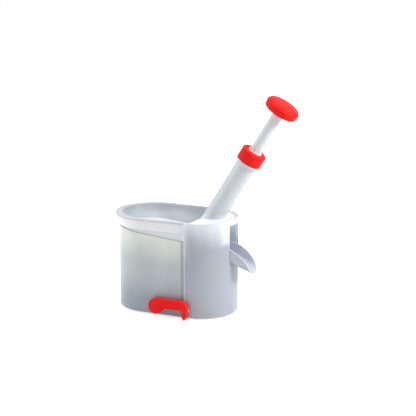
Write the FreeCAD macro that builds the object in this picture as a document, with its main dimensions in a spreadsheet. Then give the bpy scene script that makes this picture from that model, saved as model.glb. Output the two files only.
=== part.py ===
import FreeCAD, Part
import math
import os

import Sketcher
from FreeCAD import Placement, Rotation, Vector

# Hand cherry pitter with a hopper, a spring plunger, a stone drawer and a suction foot.
# Frame: origin on the table under the middle of the suction foot, +Z up,
# +X towards the discharge chute, -Y towards the user who works the suction lever. Millimetres and degrees.

SIZES = [
    # Housing
    ("body_length", 166, "length of the housing's plan at its base"),
    ("body_width", 98, "width of the housing's plan, also twice its end radius"),
    ("rim_height", 130, "top of the rim above the table"),
    ("crease_height", 114.5, "lower edge of the flared band above the table"),
    ("foot_gap", 2, "gap under the housing's lower edge"),
    ("wall", 2, "wall of the housing and the drawer"),
    ("body_offset", 33, "distance from the suction foot to the housing's middle, towards -X"),
    ("seam_offset", 5.5, "distance from the chute end's centre to the drawer's seam, towards -X"),
    ("flare_end", 5.5, "outward flare of the rim at the hopper end"),
    ("flare_side", 2.6, "outward flare of the rim along the hopper's sides"),
    ("flare_right", 0.6, "outward flare of the rim at the chute end"),
    ("flare_middle", 0.38, "share of the flare that the band has half way up"),
    ("slot_width", 33, "width of the chute's window"),
    ("slot_drop", 6.5, "top of the chute's window below the rim"),
    ("deck_drop", 3, "depth of the deck below the rim"),
    ("deck_thickness", 2.4, "thickness of the deck"),
    ("deck_bow", 6.5, "how far the deck's free edge bows towards the chute"),
    ("ledge_width", 2.4, "width of the ledge that carries the deck"),
    ("boss_radius", 5, "radius of the screw bosses"),
    ("boss_sink", 0.5, "how far the screw bosses run into the wall"),
    ("boss_height", 12, "height of the screw bosses above the base tray"),
    ("front_boss_place", 12, "distance of the side screw bosses from the suction foot, along X"),
    ("end_boss_angle", 22, "angle of the end screw bosses from the X axis"),
    # Hopper
    ("lip_thickness", 1.8, "thickness of the hopper's lip"),
    ("hopper_wall", 2, "wall of the hopper"),
    ("hopper_right", 9.5, "outer face of the hopper's end wall, from the suction foot"),
    ("hopper_slope", 5.6, "slope of the hopper floor's outline and the drawer's top edge"),
    ("seam_drop", 10.5, "drop of the drawer's top edge below the crease at the seam"),
    ("skirt_overlap", 4, "overlap of the hopper's skirt inside the drawer"),
    ("funnel_flat", 1, "half length of the funnel's straight sides over the cup"),
    ("funnel_edge", 0.5, "overhang of the cup's rim past the funnel's lower end"),
    ("sill_height", 79, "sill of the cherry gate above the table"),
    ("gate_width", 30, "width of the cherry gate in the hopper's end wall"),
    ("gate_reach", 3, "inner end of the cherry gate, from the suction foot"),
    # Plunger tube
    ("tube_tilt", 31.8, "tilt of the plunger from upright, towards +X"),
    ("tube_foot", 16.9, "where the plunger's axis meets the deck, from the suction foot"),
    ("tube_radius", 13.5, "outer radius of the plunger tube"),
    ("tube_bore", 11.5, "radius of the plunger tube's bore"),
    ("tube_length", 94.3, "plunger tube from the deck to its flange's top"),
    ("tube_below", 14, "plunger tube below the deck, along its axis"),
    ("tube_lip", 1.5, "thickness of the lip at the tube's lower end"),
    ("flange_radius", 16.8, "radius of the tube's flange"),
    ("flange_thickness", 2.6, "thickness of the tube's flange"),
    ("neck_radius", 12.9, "radius of the tube's neck inside the cap"),
    ("cap_radius", 16.7, "outer radius of the screw cap"),
    ("cap_height", 16.2, "height of the screw cap"),
    ("cap_top_thickness", 2.6, "thickness of the screw cap's top"),
    ("cap_hole", 9.5, "radius of the screw cap's hole"),
    ("bush_flange", 3, "thickness of the guide bush's flange under the screw cap"),
    ("bush_rise", 0.8, "rise of the guide bush above the screw cap"),
    ("cap_edge", 1.8, "edge radius of the screw cap's top"),
    # Plunger
    ("stem_radius", 7.3, "radius of the plunger's stem"),
    ("stem_exposed", 60.2, "stem between the bush and the knob at rest"),
    ("piston_radius", 11.3, "radius of the stem's piston"),
    ("piston_height", 4, "height of the stem's piston"),
    ("guide_radius", 5.4, "radius of the stem inside the spring"),
    ("guide_length", 45, "length of the stem inside the spring"),
    ("knob_radius", 22.2, "radius of the knob"),
    ("knob_height", 12.4, "height of the knob"),
    ("knob_edge", 4.4, "edge radius of the knob"),
    ("knob_crown", 1.8, "rise of the knob's crown"),
    ("spigot_radius", 5, "radius of the stem's spigot in the knob"),
    ("spigot_length", 6.5, "length of the stem's spigot in the knob"),
    ("pin_radius", 2.5, "radius of the pitting pin"),
    ("pin_socket", 16, "length of the pin inside the stem"),
    ("disc_thickness", 3, "thickness of the stripper disc"),
    ("spring_radius", 8.4, "mean radius of the return spring"),
    ("wire_radius", 0.65, "radius of the spring's wire"),
    ("spring_turns", 10, "turns of the return spring"),
    # Pitting cup
    ("cup_rim", 52, "pitting cup's rim below the deck, along the plunger's axis"),
    ("cup_depth", 14, "depth of the pitting cup, outside"),
    ("cup_radius", 14.3, "outer radius of the pitting cup"),
    ("cup_inner", 12.3, "inner radius of the pitting cup"),
    ("cup_hole", 6.2, "radius of the hole in the pitting cup's floor"),
    ("cup_flange", 16.4, "radius of the pitting cup's flange"),
    ("cup_flange_thickness", 2, "thickness of the pitting cup's flange"),
    ("socket_height", 9, "height of the hopper's socket for the cup"),
    ("gasket_thickness", 1.4, "thickness of the star gasket"),
    ("slit_width", 0.6, "width of the star gasket's slits"),
    ("slit_end", 1, "how far the slits end inside the cup's hole"),
    ("ring_thickness", 1.6, "thickness of the gasket ring"),
    ("ring_inner", 9.5, "inner radius of the gasket ring"),
    # Chute
    ("chute_half_width", 16.2, "half width of the chute in its window"),
    ("chute_inner_half_width", 15, "half width of the chute at its inner end"),
    ("chute_tip_half_width", 14.6, "half width of the chute at its tip"),
    ("chute_wall", 1.8, "wall of the chute"),
    ("chute_drop_inside", 8.5, "fall of the chute inside the housing"),
    ("chute_floor", 68.7, "underside of the chute where it leaves the housing, above the table"),
    ("chute_reach", 26.5, "reach of the chute past the housing"),
    ("chute_drop_outside", 11, "fall of the chute outside the housing"),
    ("chute_corner", 11, "radius of the chute's lower corners"),
    ("chute_rim_inside", 98, "height of the chute's rim inside the housing"),
    ("chute_rim_window", 92.5, "height of the chute's rim where its curve starts"),
    ("chute_rim_start", 6, "start of the rim's curve inside the housing's end"),
    ("chute_rim_centre", 21, "centre of the rim's curve inside the housing's end"),
    # Drawer and base
    ("floor_height", 19.5, "underside of the drawer's floor above the table"),
    ("drawer_end_gap", 4.7, "gap between the drawer's end wall and the gasket ring over it"),
    ("base_clearance", 0.8, "gap between the base tray and the walls round it"),
    ("base_plate", 2.4, "thickness of the base tray's plate"),
    ("well_radius", 38.8, "inner radius of the base tray's suction well"),
    ("well_wall", 1.8, "wall of the suction well"),
    ("post_bottom", 8, "lower end of the base tray's screw posts above the table"),
    ("screw_radius", 1.5, "radius of the base screws"),
    ("screw_head", 2.9, "radius of the base screws' heads"),
    ("screw_head_height", 2, "height of the base screws' heads"),
    ("screw_bite", 9, "depth of the base screws in the housing's bosses"),
    # Suction foot
    ("shaft_height", 12, "height of the cam shaft's axis above the table"),
    ("shaft_radius", 3, "radius of the cam shaft"),
    ("shaft_end", 12, "where the cam shaft ends behind the foot's middle"),
    ("tenon_radius", 2, "radius of the shaft's tenon in the lever"),
    ("tenon_length", 6, "length of the shaft's tenon in the lever"),
    ("cam_radius", 4, "radius of the eccentric"),
    ("cam_throw", 1.5, "throw of the eccentric"),
    ("cam_length", 7, "length of the eccentric"),
    ("cup_foot_radius", 37, "radius of the suction cup"),
    ("cup_foot_edge", 1.2, "thickness of the suction cup's edge"),
    ("cup_foot_crown", 3.5, "thickness of the suction cup near its boss"),
    ("cup_boss_radius", 7.8, "radius of the suction cup's boss"),
    ("cup_boss_foot", 4, "width of the flat round the suction cup's boss"),
    ("cup_boss_height", 4.3, "height of the suction cup's boss"),
    ("stud_flange_radius", 6, "radius of the stud's flange in the cup"),
    ("stud_flange_bottom", 1.5, "underside of the stud's flange above the table"),
    ("stud_flange_thickness", 1.2, "thickness of the stud's flange"),
    ("stud_neck", 3.6, "radius of the stud's neck"),
    ("yoke_wall", 2.2, "wall of the stud's yoke"),
    ("ear_bottom", 7.6, "lower end of the base tray's bearing ears above the table"),
    ("ear_thickness", 4, "thickness of the bearing ears"),
    ("ear_half_width", 6.5, "half width of the bearing ears"),
    ("ear_gap", 1.5, "gap between the eccentric and the bearing ears"),
    ("yoke_room", 1.2, "gap round the yoke in the base tray's window"),
    # Lever
    ("lever_gap", 2.3, "gap between the housing and the lever"),
    ("lever_thickness", 8.5, "thickness of the lever"),
    ("lever_leg", 6.4, "width of the lever's leg"),
    ("lever_tip", 0.9, "lower tip of the lever above the table"),
    ("lever_point", 3.6, "height of the point at the lever's lower tip"),
    ("lever_top", 26.1, "top of the lever's arm above the table"),
    ("lever_arm", 12, "height of the lever's arm"),
    ("lever_reach", 41, "distance from the shaft to the middle of the lever's thumb pad"),
    ("thumb_radius", 10.3, "radius of the lever's thumb pad"),
    ("elbow_radius", 9, "outer radius of the lever's elbow"),
    ("lever_edge", 1.6, "bevel of the lever's edges"),
    # Clearances
    ("fit_gap", 0.3, "gap between parts that are pushed together by hand"),
    ("slide_gap", 0.2, "gap under a part that slides"),
    ("running_gap", 0.06, "radial clearance of a running shaft"),
    ("cam_gap", 0.15, "clearance round the eccentric in its yoke"),
    ("seam_gap", 0.3, "gap between the drawer and the housing"),
]

doc = FreeCAD.newDocument("CherryPitter")
sheet = doc.addObject("Spreadsheet::Sheet", "Sizes")
for row, (alias, size, meaning) in enumerate(SIZES, start=1):
    sheet.set(f"A{row}", meaning)
    sheet.set(f"B{row}", str(size))
    sheet.setAlias(f"B{row}", alias)
doc.recompute()


def sz(text):
    """Return an expression in which every bare alias is read from the sheet."""
    names = {alias for alias, _, _ in SIZES}
    out = ""
    word = ""
    for letter in text + " ":
        if letter.isalnum() or letter == "_":
            word += letter
            continue
        out += f"Sizes.{word}" if word in names else word
        word = ""
        out += letter
    return out.strip()


def number(text):
    """Return the value of an expression, in millimetres or degrees."""
    value = sheet.evalExpression(sz(text))
    return float(getattr(value, "Value", value))


# Places that several parts share, as expressions of the sheet's sizes.
END_RADIUS = "(body_width / 2)"
LEFT_CENTRE = "(-body_offset - (body_length - body_width) / 2)"
RIGHT_CENTRE = "(-body_offset + (body_length - body_width) / 2)"
RIGHT_END = "(-body_offset + body_length / 2)"
SEAM = f"({RIGHT_CENTRE} - seam_offset)"
DECK_TOP = "(rim_height - deck_drop)"
DECK_BOTTOM = "(rim_height - deck_drop - deck_thickness)"
INNER_RADIUS = "(body_width / 2 - wall)"
HOPPER_RADIUS = "(body_width / 2 - wall - fit_gap)"
HOLLOW_RADIUS = "(body_width / 2 - wall - fit_gap - hopper_wall)"
HOPPER_INSIDE = "(hopper_right - hopper_wall)"
SEAM_EDGE = "(crease_height - seam_drop)"
LIP_BOTTOM = "(rim_height - lip_thickness)"
LIP_END = f"({SEAM} - fit_gap)"
CAP_TOP = "(tube_length + cap_height)"
CAP_INSIDE = "(tube_length + cap_height - cap_top_thickness)"
BUSH_TOP = "(tube_length + cap_height + bush_rise)"
KNOB_BOTTOM = "(tube_length + cap_height + bush_rise + stem_exposed)"
BUSH_SEAT = "(tube_length + cap_height - cap_top_thickness - bush_flange)"
PISTON_TOP = f"({BUSH_SEAT} - fit_gap)"
PISTON_BOTTOM = f"({BUSH_SEAT} - fit_gap - piston_height)"
DISC_BOTTOM = "(tube_lip - tube_below)"
DISC_TOP = "(tube_lip - tube_below + disc_thickness)"
CUP_BOTTOM = "(-cup_rim - cup_depth)"
GASKET_BOTTOM = "(-cup_rim - cup_depth - gasket_thickness)"
RING_BOTTOM = f"({GASKET_BOTTOM} - ring_thickness)"
RING_LOWEST = f"({DECK_TOP} + {RING_BOTTOM} * cos(tube_tilt) - cup_flange * sin(tube_tilt))"
SOCKET_TOP = "(-cup_rim - cup_flange_thickness)"
BASE_TOP = "(floor_height - slide_gap)"
BASE_RADIUS = "(body_width / 2 - wall - base_clearance)"
PLATE_BOTTOM = "(floor_height - slide_gap - base_plate)"
LEVER_BACK = "(body_width / 2 + lever_gap)"
LEVER_FRONT = "(body_width / 2 + lever_gap + lever_thickness)"
BOSS_PLACE = "(body_width / 2 - wall - boss_radius + boss_sink)"
CHUTE_START = "(hopper_right + fit_gap)"
CHUTE_TIP = "(-body_offset + body_length / 2 + chute_reach)"


def new_body(name, tilted=False):
    """Return a new body, in the plunger's own frame if it is tilted."""
    body = doc.addObject("PartDesign::Body", name)
    if tilted:
        tilt_about_foot(body)
    return body


def tilt_about_foot(item):
    """Place an object so that its own Z axis is the plunger's axis and its origin is on the deck."""
    item.Placement = Placement(Vector(1, 0, 1), Rotation(Vector(0, 1, 0), 10))
    item.setExpression("Placement.Base.x", sz("tube_foot"))
    item.setExpression("Placement.Base.z", sz(DECK_TOP))
    item.setExpression("Placement.Rotation.Angle", sz("tube_tilt"))


def new_sketch(body, role, lift="0"):
    """Return a sketch on one of the body's own origin planes, lifted along the plane's normal."""
    sketch = body.newObject("Sketcher::SketchObject", body.Name + "Sketch")
    plane = next(item for item in body.Origin.OriginFeatures if item.Role == role)
    sketch.AttachmentSupport = [(plane, "")]
    sketch.MapMode = "FlatFace"
    sketch.setExpression("AttachmentOffset.Base.z", sz(lift))
    return sketch


def arc_between(start, end, axis, centre, counterclockwise):
    """Return an arc between two points whose centre has the given X or Y, and the order of its ends."""
    middle = (start + end) * 0.5
    chord = end - start
    if axis == "x":
        spot = Vector(centre, middle.y - chord.x * (centre - middle.x) / chord.y, 0)
    else:
        spot = Vector(middle.x - chord.y * (centre - middle.y) / chord.x, centre, 0)
    ends = (start, end) if counterclockwise else (end, start)
    angles = [math.atan2(p.y - spot.y, p.x - spot.x) for p in ends]
    circle = Part.Circle(spot, Vector(0, 0, 1), (start - spot).Length)
    if angles[1] <= angles[0]:
        angles[1] += 2 * math.pi
    return Part.ArcOfCircle(circle, *angles), (1, 2) if counterclockwise else (2, 1)


def outline(sketch, points, arcs=None):
    """Add a closed outline through points given as expressions, with arcs on some of its sides.

    An arc is (axis, centre, counterclockwise): the X or Y of its centre and its sense of travel.
    """
    arcs = arcs or {}
    spots = [Vector(number(x), number(y), 0) for x, y in points]
    sides = []
    for index, start in enumerate(spots):
        end = spots[(index + 1) % len(spots)]
        if index in arcs:
            axis, centre, sense = arcs[index]
            shape, ends = arc_between(start, end, axis, number(centre), sense)
        else:
            shape, ends = Part.LineSegment(start, end), (1, 2)
        sides.append((sketch.addGeometry(shape), *ends))
    for index, (side, _, last) in enumerate(sides):
        following = sides[(index + 1) % len(sides)]
        sketch.addConstraint(Sketcher.Constraint("Coincident", side, last, following[0], following[1]))
    for index, (side, first, _) in enumerate(sides):
        for kind, value, text in zip(("DistanceX", "DistanceY"), spots[index], points[index]):
            bind(sketch, Sketcher.Constraint(kind, -1, 1, side, first, value), text)
    for index, (axis, centre, _) in arcs.items():
        kind = "DistanceX" if axis == "x" else "DistanceY"
        bind(sketch, Sketcher.Constraint(kind, -1, 1, sides[index][0], 3, number(centre)), centre)


def bind(sketch, constraint, text):
    """Add a dimension to a sketch and tie it to an expression."""
    place = sketch.addConstraint(constraint)
    sketch.setExpression(f"Constraints[{place}]", sz(text))


def circle(sketch, x, y, radius):
    """Add a circle whose centre and radius are expressions."""
    centre = Vector(number(x), number(y), 0)
    ring = sketch.addGeometry(Part.Circle(centre, Vector(0, 0, 1), number(radius)))
    bind(sketch, Sketcher.Constraint("DistanceX", -1, 1, ring, 3, centre.x), x)
    bind(sketch, Sketcher.Constraint("DistanceY", -1, 1, ring, 3, centre.y), y)
    bind(sketch, Sketcher.Constraint("Radius", ring, number(radius)), radius)


def rectangle(sketch, left, right, bottom, top):
    """Add a rectangle between expressions."""
    outline(sketch, [(left, bottom), (right, bottom), (right, top), (left, top)])


def stadium(sketch, left, right, left_radius, right_radius=None):
    """Add a plan with two round ends centred on the X axis."""
    right_radius = right_radius or left_radius
    points = [
        (left, f"-{left_radius}"),
        (right, f"-{right_radius}"),
        (right, right_radius),
        (left, left_radius),
    ]
    outline(sketch, points, {1: ("x", right, True), 3: ("x", left, True)})


def tray_plan(sketch, left, right, radius, cut):
    """Add a plan with a round left end, part of a round right end and a straight cut across it."""
    corner = f"sqrt({radius} ^ 2 - ({cut} - {right}) ^ 2)"
    points = [
        (left, f"-{radius}"),
        (right, f"-{radius}"),
        (cut, f"-{corner}"),
        (cut, corner),
        (right, radius),
        (left, radius),
    ]
    arcs = {1: ("x", right, True), 3: ("x", right, True), 5: ("x", left, True)}
    outline(sketch, points, arcs)


def extrude(kind, sketch, length, up=False):
    """Pad or pocket a sketch by a length, and return the feature."""
    body = sketch.getParentGeoFeatureGroup()
    feature = body.newObject(f"PartDesign::{kind}", body.Name + kind)
    feature.Profile = sketch
    feature.setExpression("Length", sz(length))
    feature.Reversed = up
    before = body_volume(body, feature)
    doc.recompute()
    changed = feature.Shape.Volume - before
    if (kind == "Pocket") != (changed < -1e-6):
        raise ValueError(f"{feature.Name} changes the volume by {changed:.3f} mm3")
    return feature


def body_volume(body, feature):
    """Return the volume that a body had before a feature."""
    base = feature.BaseFeature
    return base.Shape.Volume if base is not None and not base.Shape.isNull() else 0.0


def pad(sketch, length, down=False):
    """Add material along the sketch's normal."""
    return extrude("Pad", sketch, length, down)


def pocket(sketch, length, up=False):
    """Remove material against the sketch's normal, or along it."""
    return extrude("Pocket", sketch, length, up)


def turned(body, points, arcs=None):
    """Turn an outline in the body's XZ plane about the body's Z axis."""
    sketch = new_sketch(body, "XZ_Plane")
    outline(sketch, points, arcs)
    feature = body.newObject("PartDesign::Revolution", body.Name + "Turn")
    feature.Profile = sketch
    feature.ReferenceAxis = (sketch, ["V_Axis"])
    feature.Angle = 360
    doc.recompute()
    return feature


def eased(x, z, size, step_x, step_z):
    """Return the points of a rounded edge, cut as three short cones round a corner.

    The corner is at (x, z). The edge leaves it along the signs step_x and step_z, from the side to the end face.
    """
    shares = ((0, 1), (0.134, 0.5), (0.5, 0.134), (1, 0))
    return [(f"({x} + {step_x} * {across} * {size})", f"({z} + {step_z} * {along} * {size})") for across, along in shares]


def loft(kind, sketches, ruled=True):
    """Join sketches into one lofted feature that adds or removes material."""
    body = sketches[0].getParentGeoFeatureGroup()
    feature = body.newObject(f"PartDesign::{kind}Loft", body.Name + "Loft")
    feature.Profile = sketches[0]
    feature.Sections = sketches[1:]
    feature.Ruled = ruled
    doc.recompute()
    return feature


def edges_where(feature, test):
    """Return the names of a feature's edges whose curve and middle pass a test."""
    names = []
    for index, edge in enumerate(feature.Shape.Edges, start=1):
        middle = edge.valueAt((edge.FirstParameter + edge.LastParameter) / 2)
        if test(edge, middle):
            names.append(f"Edge{index}")
    if not names:
        raise ValueError(f"no edge of {feature.Name} passes the test")
    return names


def rounded(feature, radius, test, kind="Fillet"):
    """Fillet or chamfer the edges of a feature that pass a test."""
    body = feature.getParentGeoFeatureGroup()
    blend = body.newObject(f"PartDesign::{kind}", body.Name + kind)
    blend.Base = (feature, edges_where(feature, test))
    blend.setExpression("Radius" if kind == "Fillet" else "Size", sz(radius))
    doc.recompute()
    return blend


def near(value, target, slack=0.05):
    """Tell whether two numbers agree."""
    return abs(value - target) < slack


def boolean(kind, name, base, tool):
    """Combine two shapes into one object."""
    item = doc.addObject(f"Part::{kind}", name)
    item.Base = base
    item.Tool = tool
    item.Refine = True
    doc.recompute()
    return item


def boss_places():
    """Return the plan positions of the screw bosses, as expressions."""
    end_x = f"({RIGHT_CENTRE} + {BOSS_PLACE} * cos(end_boss_angle))"
    end_y = f"({BOSS_PLACE} * sin(end_boss_angle))"
    side_y = f"sqrt({BOSS_PLACE} ^ 2 - (front_boss_place - {RIGHT_CENTRE}) ^ 2)"
    places = []
    for sign in ("-", ""):
        places.append((end_x, f"{sign}{end_y}"))
        places.append(("front_boss_place", f"{sign}{side_y}"))
    return places


PARTS = []


def keep(item, label):
    """Give a finished sub-part its name and list it for export."""
    item.Label = label
    PARTS.append(item)
    return item


def drawer_edge(x):
    """Return the height of the drawer's sloping top edge at an X, as an expression."""
    return f"({SEAM_EDGE} + ({SEAM} - {x}) * tan(hopper_slope))"


# Housing: a stadium-shaped shell whose flared band runs all round, with the drawer's bay cut away on the left.
def rim_sketch(body, lift, share, inset):
    """Sketch the band's outline at a height, with a share of the flare and an inset for its wall."""
    sketch = new_sketch(body, "XY_Plane", lift)
    left_radius = f"({END_RADIUS} + flare_side * {share} - {inset})"
    left = f"({LEFT_CENTRE} - (flare_end - flare_side) * {share})"
    right_radius = f"({END_RADIUS} + flare_right * {share} - {inset})"
    stadium(sketch, left, RIGHT_CENTRE, left_radius, right_radius)
    return sketch


def band_sketches(body, inset):
    """Return the outlines that the flared band passes through."""
    middle = "(crease_height + (rim_height - crease_height) * 0.5)"
    return [
        rim_sketch(body, "crease_height", "0.0", inset),
        rim_sketch(body, middle, "flare_middle", inset),
        rim_sketch(body, "rim_height", "1.0", inset),
    ]


def make_housing():
    body = new_body("Housing")
    plan = new_sketch(body, "XY_Plane", "foot_gap")
    stadium(plan, LEFT_CENTRE, RIGHT_CENTRE, END_RADIUS)
    pad(plan, "crease_height - foot_gap")
    loft("Additive", band_sketches(body, "0"), ruled=False)
    hollow = new_sketch(body, "XY_Plane", "rim_height")
    stadium(hollow, LEFT_CENTRE, RIGHT_CENTRE, INNER_RADIUS)
    pocket(hollow, "rim_height")
    loft("Subtractive", band_sketches(body, "wall"), ruled=False)
    ledge = new_sketch(body, "XY_Plane", f"{DECK_BOTTOM} - deck_thickness")
    outer = f"({INNER_RADIUS} + 0.5 * wall)"
    inner = f"({INNER_RADIUS} - ledge_width)"
    start = f"({CHUTE_START} + fit_gap)"
    outer_y = f"sqrt({outer} ^ 2 - ({start} - {RIGHT_CENTRE}) ^ 2)"
    inner_y = f"sqrt({inner} ^ 2 - ({start} - {RIGHT_CENTRE}) ^ 2)"
    points = [
        (start, f"-{outer_y}"),
        (start, outer_y),
        (start, inner_y),
        (start, f"-{inner_y}"),
    ]
    outline(ledge, points, {0: ("x", RIGHT_CENTRE, True), 2: ("x", RIGHT_CENTRE, False)})
    pad(ledge, "deck_thickness")
    bay = new_sketch(body, "XZ_Plane", "body_width")
    rectangle(bay, "-2 * body_length", SEAM, "0", "crease_height")
    pocket(bay, "2 * body_width")
    step = new_sketch(body, "XZ_Plane", "body_width")
    rectangle(step, "-2 * body_length", SEAM, LIP_BOTTOM, "rim_height + wall")
    pocket(step, "2 * body_width")
    window = new_sketch(body, "YZ_Plane", f"{RIGHT_END} + wall")
    half = "slot_width / 2"
    low = "chute_floor - fit_gap"
    corner = "(chute_corner + fit_gap)"
    points = [
        (f"-{half}", "rim_height - slot_drop"),
        (f"-{half}", f"{low} + {corner}"),
        (f"-{half} + {corner}", low),
        (f"{half} - {corner}", low),
        (half, f"{low} + {corner}"),
        (half, "rim_height - slot_drop"),
    ]
    bottoms = {1: ("y", f"{low} + {corner}", True), 3: ("y", f"{low} + {corner}", True)}
    outline(window, points, bottoms)
    pocket(window, f"{END_RADIUS} / 2")
    bosses = new_sketch(body, "XY_Plane", BASE_TOP)
    for x, y in boss_places():
        circle(bosses, x, y, "boss_radius")
    pad(bosses, "boss_height")
    pilots = new_sketch(body, "XY_Plane", BASE_TOP)
    for x, y in boss_places():
        circle(pilots, x, y, "screw_radius")
    pocket(pilots, "screw_bite", up=True)
    passage = new_sketch(body, "XZ_Plane", "body_width")
    circle(passage, "0", "shaft_height", "shaft_radius + fit_gap")
    pocket(passage, "body_width")
    return keep(body, "housing_shell")


# Hopper: a drop-in tray whose floor funnels to the pitting cup, with a gate towards the chute.
def slope_sketch(body, drop):
    """Sketch plane that follows the drawer's sloping edge, some way below it."""
    sketch = new_sketch(body, "XY_Plane", "0")
    sketch.AttachmentOffset = Placement(Vector(1, 0, 1), Rotation(Vector(0, 1, 0), 5))
    sketch.setExpression("AttachmentOffset.Base.x", sz(SEAM))
    sketch.setExpression("AttachmentOffset.Base.z", sz(f"{SEAM_EDGE} - {drop}"))
    sketch.setExpression("AttachmentOffset.Rotation.Angle", sz("hopper_slope"))
    return sketch


def cup_sketch(body, depth):
    """Sketch plane square to the plunger's axis, some way below the deck."""
    sketch = new_sketch(body, "XY_Plane", "0")
    sketch.AttachmentOffset = Placement(Vector(1, 0, 1), Rotation(Vector(0, 1, 0), 5))
    sketch.setExpression("AttachmentOffset.Base.x", sz(f"tube_foot - {depth} * sin(tube_tilt)"))
    sketch.setExpression("AttachmentOffset.Base.z", sz(f"{DECK_TOP} - {depth} * cos(tube_tilt)"))
    sketch.setExpression("AttachmentOffset.Rotation.Angle", sz("tube_tilt"))
    return sketch


def make_hopper():
    body = new_body("HopperTray")
    wall = new_sketch(body, "XY_Plane", f"{SEAM_EDGE} - 2 * seam_drop")
    tray_plan(wall, LEFT_CENTRE, RIGHT_CENTRE, HOPPER_RADIUS, "hopper_right")
    tray_plan(wall, LEFT_CENTRE, RIGHT_CENTRE, HOLLOW_RADIUS, HOPPER_INSIDE)
    pad(wall, f"{LIP_BOTTOM} - ({SEAM_EDGE} - 2 * seam_drop)")

    skirt = new_sketch(body, "XZ_Plane", "body_width")
    far = "(-2 * body_length)"
    close = "(hopper_right + wall)"
    points = [
        (far, "0"),
        (close, "0"),
        (close, f"{drawer_edge(close)} - skirt_overlap"),
        (far, f"{drawer_edge(far)} - skirt_overlap"),
    ]
    outline(skirt, points)
    pocket(skirt, "2 * body_width")

    def shifted(place):
        return f"({place} - {SEAM})"

    floor_drop = "hopper_wall"
    outer_top = slope_sketch(body, floor_drop)
    tray_plan(outer_top, shifted(LEFT_CENTRE), shifted(RIGHT_CENTRE), HOPPER_RADIUS, shifted("hopper_right"))
    outer_low = cup_sketch(body, "(cup_rim + cup_flange_thickness + 2 * hopper_wall)")
    tray_plan(outer_low, "-funnel_flat", "funnel_flat", "(cup_flange + funnel_flat)", "(cup_flange - funnel_flat)")
    loft("Additive", [outer_top, outer_low])
    top = new_sketch(body, "XY_Plane", "rim_height")
    tray_plan(top, LEFT_CENTRE, RIGHT_CENTRE, HOLLOW_RADIUS, HOPPER_INSIDE)
    inner_top = slope_sketch(body, "0")
    tray_plan(inner_top, shifted(LEFT_CENTRE), shifted(RIGHT_CENTRE), HOLLOW_RADIUS, shifted(HOPPER_INSIDE))
    inner_low = cup_sketch(body, "cup_rim")
    tray_plan(inner_low, "-funnel_flat", "funnel_flat", "(cup_flange - funnel_edge)", "(cup_flange - hopper_wall)")
    loft("Subtractive", [top, inner_top, inner_low])
    lip = new_sketch(body, "XY_Plane", LIP_BOTTOM)
    lip_radius = f"({END_RADIUS} + flare_side)"
    lip_centre = f"({LEFT_CENTRE} - flare_end + flare_side)"
    slant = f"((flare_right - flare_side) * ({LIP_END} - {lip_centre}) / ({RIGHT_CENTRE} - {lip_centre}))"
    points = [
        (lip_centre, f"-{lip_radius}"),
        (LIP_END, f"-({lip_radius} + {slant})"),
        (LIP_END, f"-{HOLLOW_RADIUS}"),
        (LEFT_CENTRE, f"-{HOLLOW_RADIUS}"),
        (LEFT_CENTRE, HOLLOW_RADIUS),
        (LIP_END, HOLLOW_RADIUS),
        (LIP_END, f"{lip_radius} + {slant}"),
        (lip_centre, lip_radius),
    ]
    outline(lip, points, {3: ("x", LEFT_CENTRE, False), 7: ("x", lip_centre, True)})
    pad(lip, "lip_thickness")
    cover = new_sketch(body, "XZ_Plane", "body_width")
    rectangle(cover, LIP_END, "2 * body_width", DECK_BOTTOM, "2 * rim_height")
    pocket(cover, "2 * body_width")
    gate = new_sketch(body, "YZ_Plane", "hopper_right + wall")
    half = "gate_width / 2"
    round_corner = "(gate_width / 4)"
    bottoms = {1: ("y", f"sill_height + {round_corner}", True), 3: ("y", f"sill_height + {round_corner}", True)}
    points = [
        (f"-{half}", "2 * rim_height"),
        (f"-{half}", f"sill_height + {round_corner}"),
        (f"-{half} + {round_corner}", "sill_height"),
        (f"{half} - {round_corner}", "sill_height"),
        (half, f"sill_height + {round_corner}"),
        (half, "2 * rim_height"),
    ]
    outline(gate, points, bottoms)
    last = pocket(gate, "hopper_right + wall - gate_reach")
    top = number("rim_height")
    rounded(last, "lip_thickness / 3", lambda edge, mid: near(mid.z, top) and beyond_lip(mid), kind="Chamfer")
    socket = new_body("HopperSocket", tilted=True)
    ring = new_sketch(socket, "XY_Plane", f"{SOCKET_TOP} - socket_height")
    circle(ring, "0", "0", "cup_flange")
    pad(ring, "socket_height")
    solid = boolean("Fuse", "HopperSolid", body, socket)
    bore = new_body("HopperBore", tilted=True)
    low = f"({SOCKET_TOP} - 3 * socket_height)"
    points = [
        ("0", low),
        ("cup_radius + running_gap", low),
        ("cup_radius + running_gap", SOCKET_TOP),
        ("cup_flange + fit_gap", SOCKET_TOP),
        ("cup_flange + fit_gap", "-cup_rim + 1"),
        ("0", "-cup_rim + 1"),
    ]
    turned(bore, points)
    return keep(boolean("Cut", "Hopper", solid, bore), "hopper")


def beyond_lip(spot):
    """Tell whether a point of the lip lies on its outer edge."""
    return math.hypot(min(spot.x - number(LEFT_CENTRE), 0), spot.y) > number(END_RADIUS)


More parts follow.
